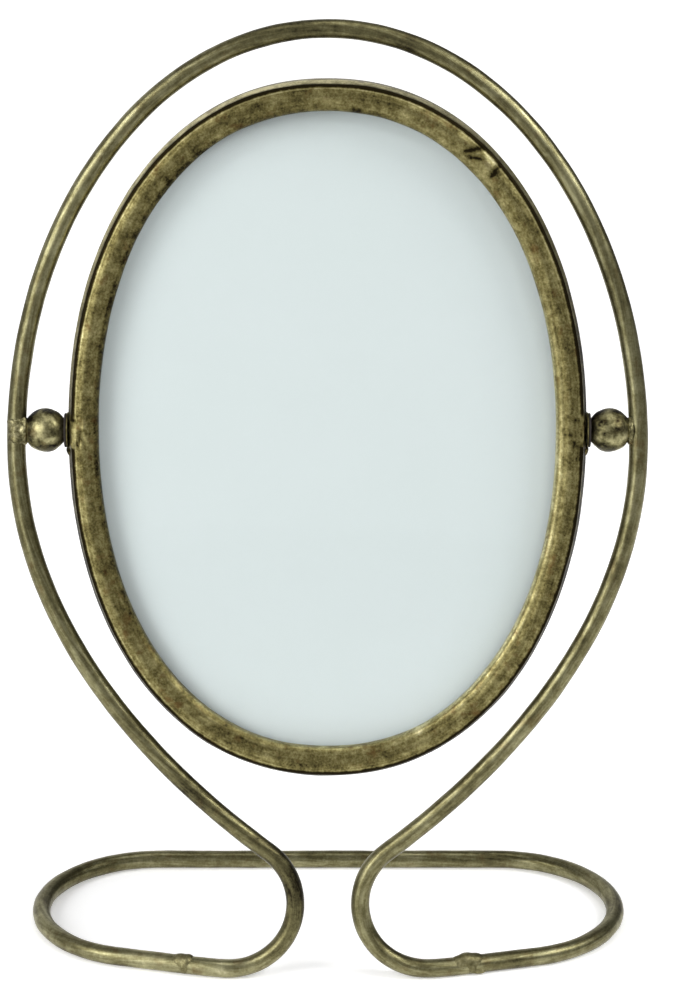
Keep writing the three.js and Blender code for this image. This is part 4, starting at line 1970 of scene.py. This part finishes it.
@dataclass
class Studio:
    """Pale floor, soft lamps and the camera of the photograph."""

    image_height: int = 986
    focal_pixels: float = 3346
    sensor: float = 36
    camera_place: Point = (3.3 * MM, -852 * MM, 412.8 * MM)
    pitch: float = math.radians(18.58)
    aim: Point = (0, 0, 0.13)
    lamps: tuple[Lamp, ...] = (
        Lamp("key_softbox", (-0.95, -0.64, 0.78), (0.5, 0.9), 9.4),
        Lamp("strip_softbox", (-0.72, -0.95, 0.3), (0.4, 0.8), 3.8),
        Lamp("brow_softbox", (0.55, -0.85, 0.9), (0.5, 0.4), 2.4),
        Lamp("top_softbox", (0.1, -0.1, 1.5), (0.8, 0.8), 5),
        Lamp("right_softbox", (0.93, -0.36, 0.96), (0.5, 0.5), 7.5),
    )
    room_colour: str = "#ffffff"
    room_light: float = 0.09
    glows: tuple[Glow, ...] = (
        Glow((-0.5, 0.866, 0.0), 0.4, 0.85, 0.8),
        Glow((0.0, -1.0, 0.0), 0.8, 0.96, 0.33),
    )
    floor_size: float = 12
    # Floor colours: white in a painted pool of light under the frame, grey as painted shade round it
    floor_in_light_pool: str = "#fafafa"
    floor_painted_shade: str = "#b0b0b0"
    light_pool_half: float = 0.24
    light_pool_fade: float = 0.6
    light_pool_front: float = -0.12
    light_pool_front_fade: float = -0.5
    aside_lift: float = 0.2
    lift_near: float = -0.3
    lift_least: float = 0.25
    lift_far: float = 1.3
    lift_most: float = 0.85

    def camera(self) -> None:
        """Set up the camera at the photograph's place."""
        bpy.ops.object.camera_add(location=self.camera_place, rotation=(math.pi / 2 - self.pitch, 0, 0))
        camera = bpy.context.object
        camera.data.sensor_width = self.sensor
        camera.data.lens = self.focal_pixels / self.image_height * self.sensor
        bpy.context.scene.camera = camera

    def lights(self) -> None:
        """Hang the soft lamps."""
        for lamp in self.lamps:
            bpy.ops.object.light_add(type="AREA", location=lamp.place)
            light = bpy.context.object
            light.name = lamp.name
            light.data.shape = "RECTANGLE"
            light.data.size, light.data.size_y = lamp.size
            light.data.energy = lamp.power
            light.rotation_euler = (Vector(self.aim) - light.location).to_track_quat("-Z", "Y").to_euler()

    def room(self) -> None:
        """Light the room, with its pale stretches."""
        world = bpy.data.worlds.new("studio_room")
        bpy.context.scene.world = world
        world.use_nodes = True
        world.node_tree.nodes.clear()
        add = partial(add_node, world.node_tree)
        heading = add("TexCoord", output="Generated")
        strength = self.room_light
        for glow in self.glows:
            facing = add("VectorMath", {0: heading, 1: glow.towards}, {"operation": "DOT_PRODUCT"})
            spread = {"From Min": glow.edge, "From Max": glow.full, "To Min": 0.0, "To Max": glow.light}
            light = add("MapRange", {"Value": facing, **spread}, {"interpolation_type": "SMOOTHSTEP"})
            strength = add("Math", {0: strength, 1: light}, {"operation": "ADD"})
        room = add("Background", {"Color": linear(self.room_colour), "Strength": strength})
        add("OutputWorld", {"Surface": room})

    def floor(self) -> None:
        """Lay the floor: white paper under the frame as a painted pool of light, and grey as painted shade
        round it.
        """
        bpy.ops.mesh.primitive_plane_add(size=self.floor_size)
        floor = bpy.context.object
        floor.name = "studio_floor"
        material, add = new_material("floor_paper_painted_light_pool")
        place = add("TexCoord", output="Object")
        x, y = (add("SeparateXYZ", {"Vector": place}, output=axis) for axis in ("X", "Y"))
        soft = {"interpolation_type": "SMOOTHSTEP"}
        sides = {"From Min": self.light_pool_half, "From Max": self.light_pool_fade, "To Min": 1.0, "To Max": 0.0}
        beside = add("MapRange", {"Value": add("Math", {0: x}, {"operation": "ABSOLUTE"}), **sides}, soft)
        start = {"From Min": self.light_pool_front_fade, "From Max": self.light_pool_front}
        ahead = add("MapRange", {"Value": y, **start}, soft)
        light_pool = add("Math", {0: beside, 1: ahead}, {"operation": "MULTIPLY"})
        # Painted pool of light: white inside, grey outside
        tones = {COLOUR_A: linear(self.floor_painted_shade), COLOUR_B: linear(self.floor_in_light_pool)}
        colour = add("Mix", {FACTOR: light_pool, **tones}, {"data_type": "RGBA"})
        reach = {"From Min": self.lift_near, "From Max": self.lift_far}
        far = add("MapRange", {"Value": y, **reach, "To Min": self.lift_least, "To Max": self.lift_most})
        lift = add("Mix", {FACTOR: light_pool, NUMBER_A: self.aside_lift, NUMBER_B: far}, {"data_type": "FLOAT"})
        seen = add("LightPath", output="Is Camera Ray")
        for ray in ("Is Glossy Ray", "Is Transmission Ray"):
            seen = add("Math", {0: seen, 1: add("LightPath", output=ray)}, {"operation": "MAXIMUM"})
        lift = add("Math", {0: lift, 1: seen}, {"operation": "MULTIPLY"})
        surfaces = {0: add("BsdfDiffuse", {"Color": colour}), 1: add("Emission", {"Strength": lift})}
        add("OutputMaterial", {"Surface": add("AddShader", surfaces)})
        floor.data.materials.append(material)

    def build(self) -> None:
        """Set up the whole studio."""
        self.camera()
        self.lights()
        self.room()
        self.floor()
        bpy.context.scene.view_settings.view_transform = "Standard"


def main() -> None:
    """Build the frame's sub-assemblies in order, then the studio round them."""
    logging.basicConfig(level=logging.INFO, format="%(name)s: %(message)s")
    finishes = Finishes.made()
    # The buttons keep to the solids' oval, since their joints are there
    buttons = TurnButtons(Oval(), finishes)
    oval = Oval(width=RING_WIDTH, drop=RING_DROP)
    ring = PictureRing(oval, finishes)
    ring.bezel()
    ring.band(buttons.slots(), buttons.slot_size())
    PicturePack(oval, finishes).build()
    buttons.build()
    BallPivots(finishes).build()
    RodStand(finishes).build()
    Studio().build()


if __name__ == "__main__":
    main()
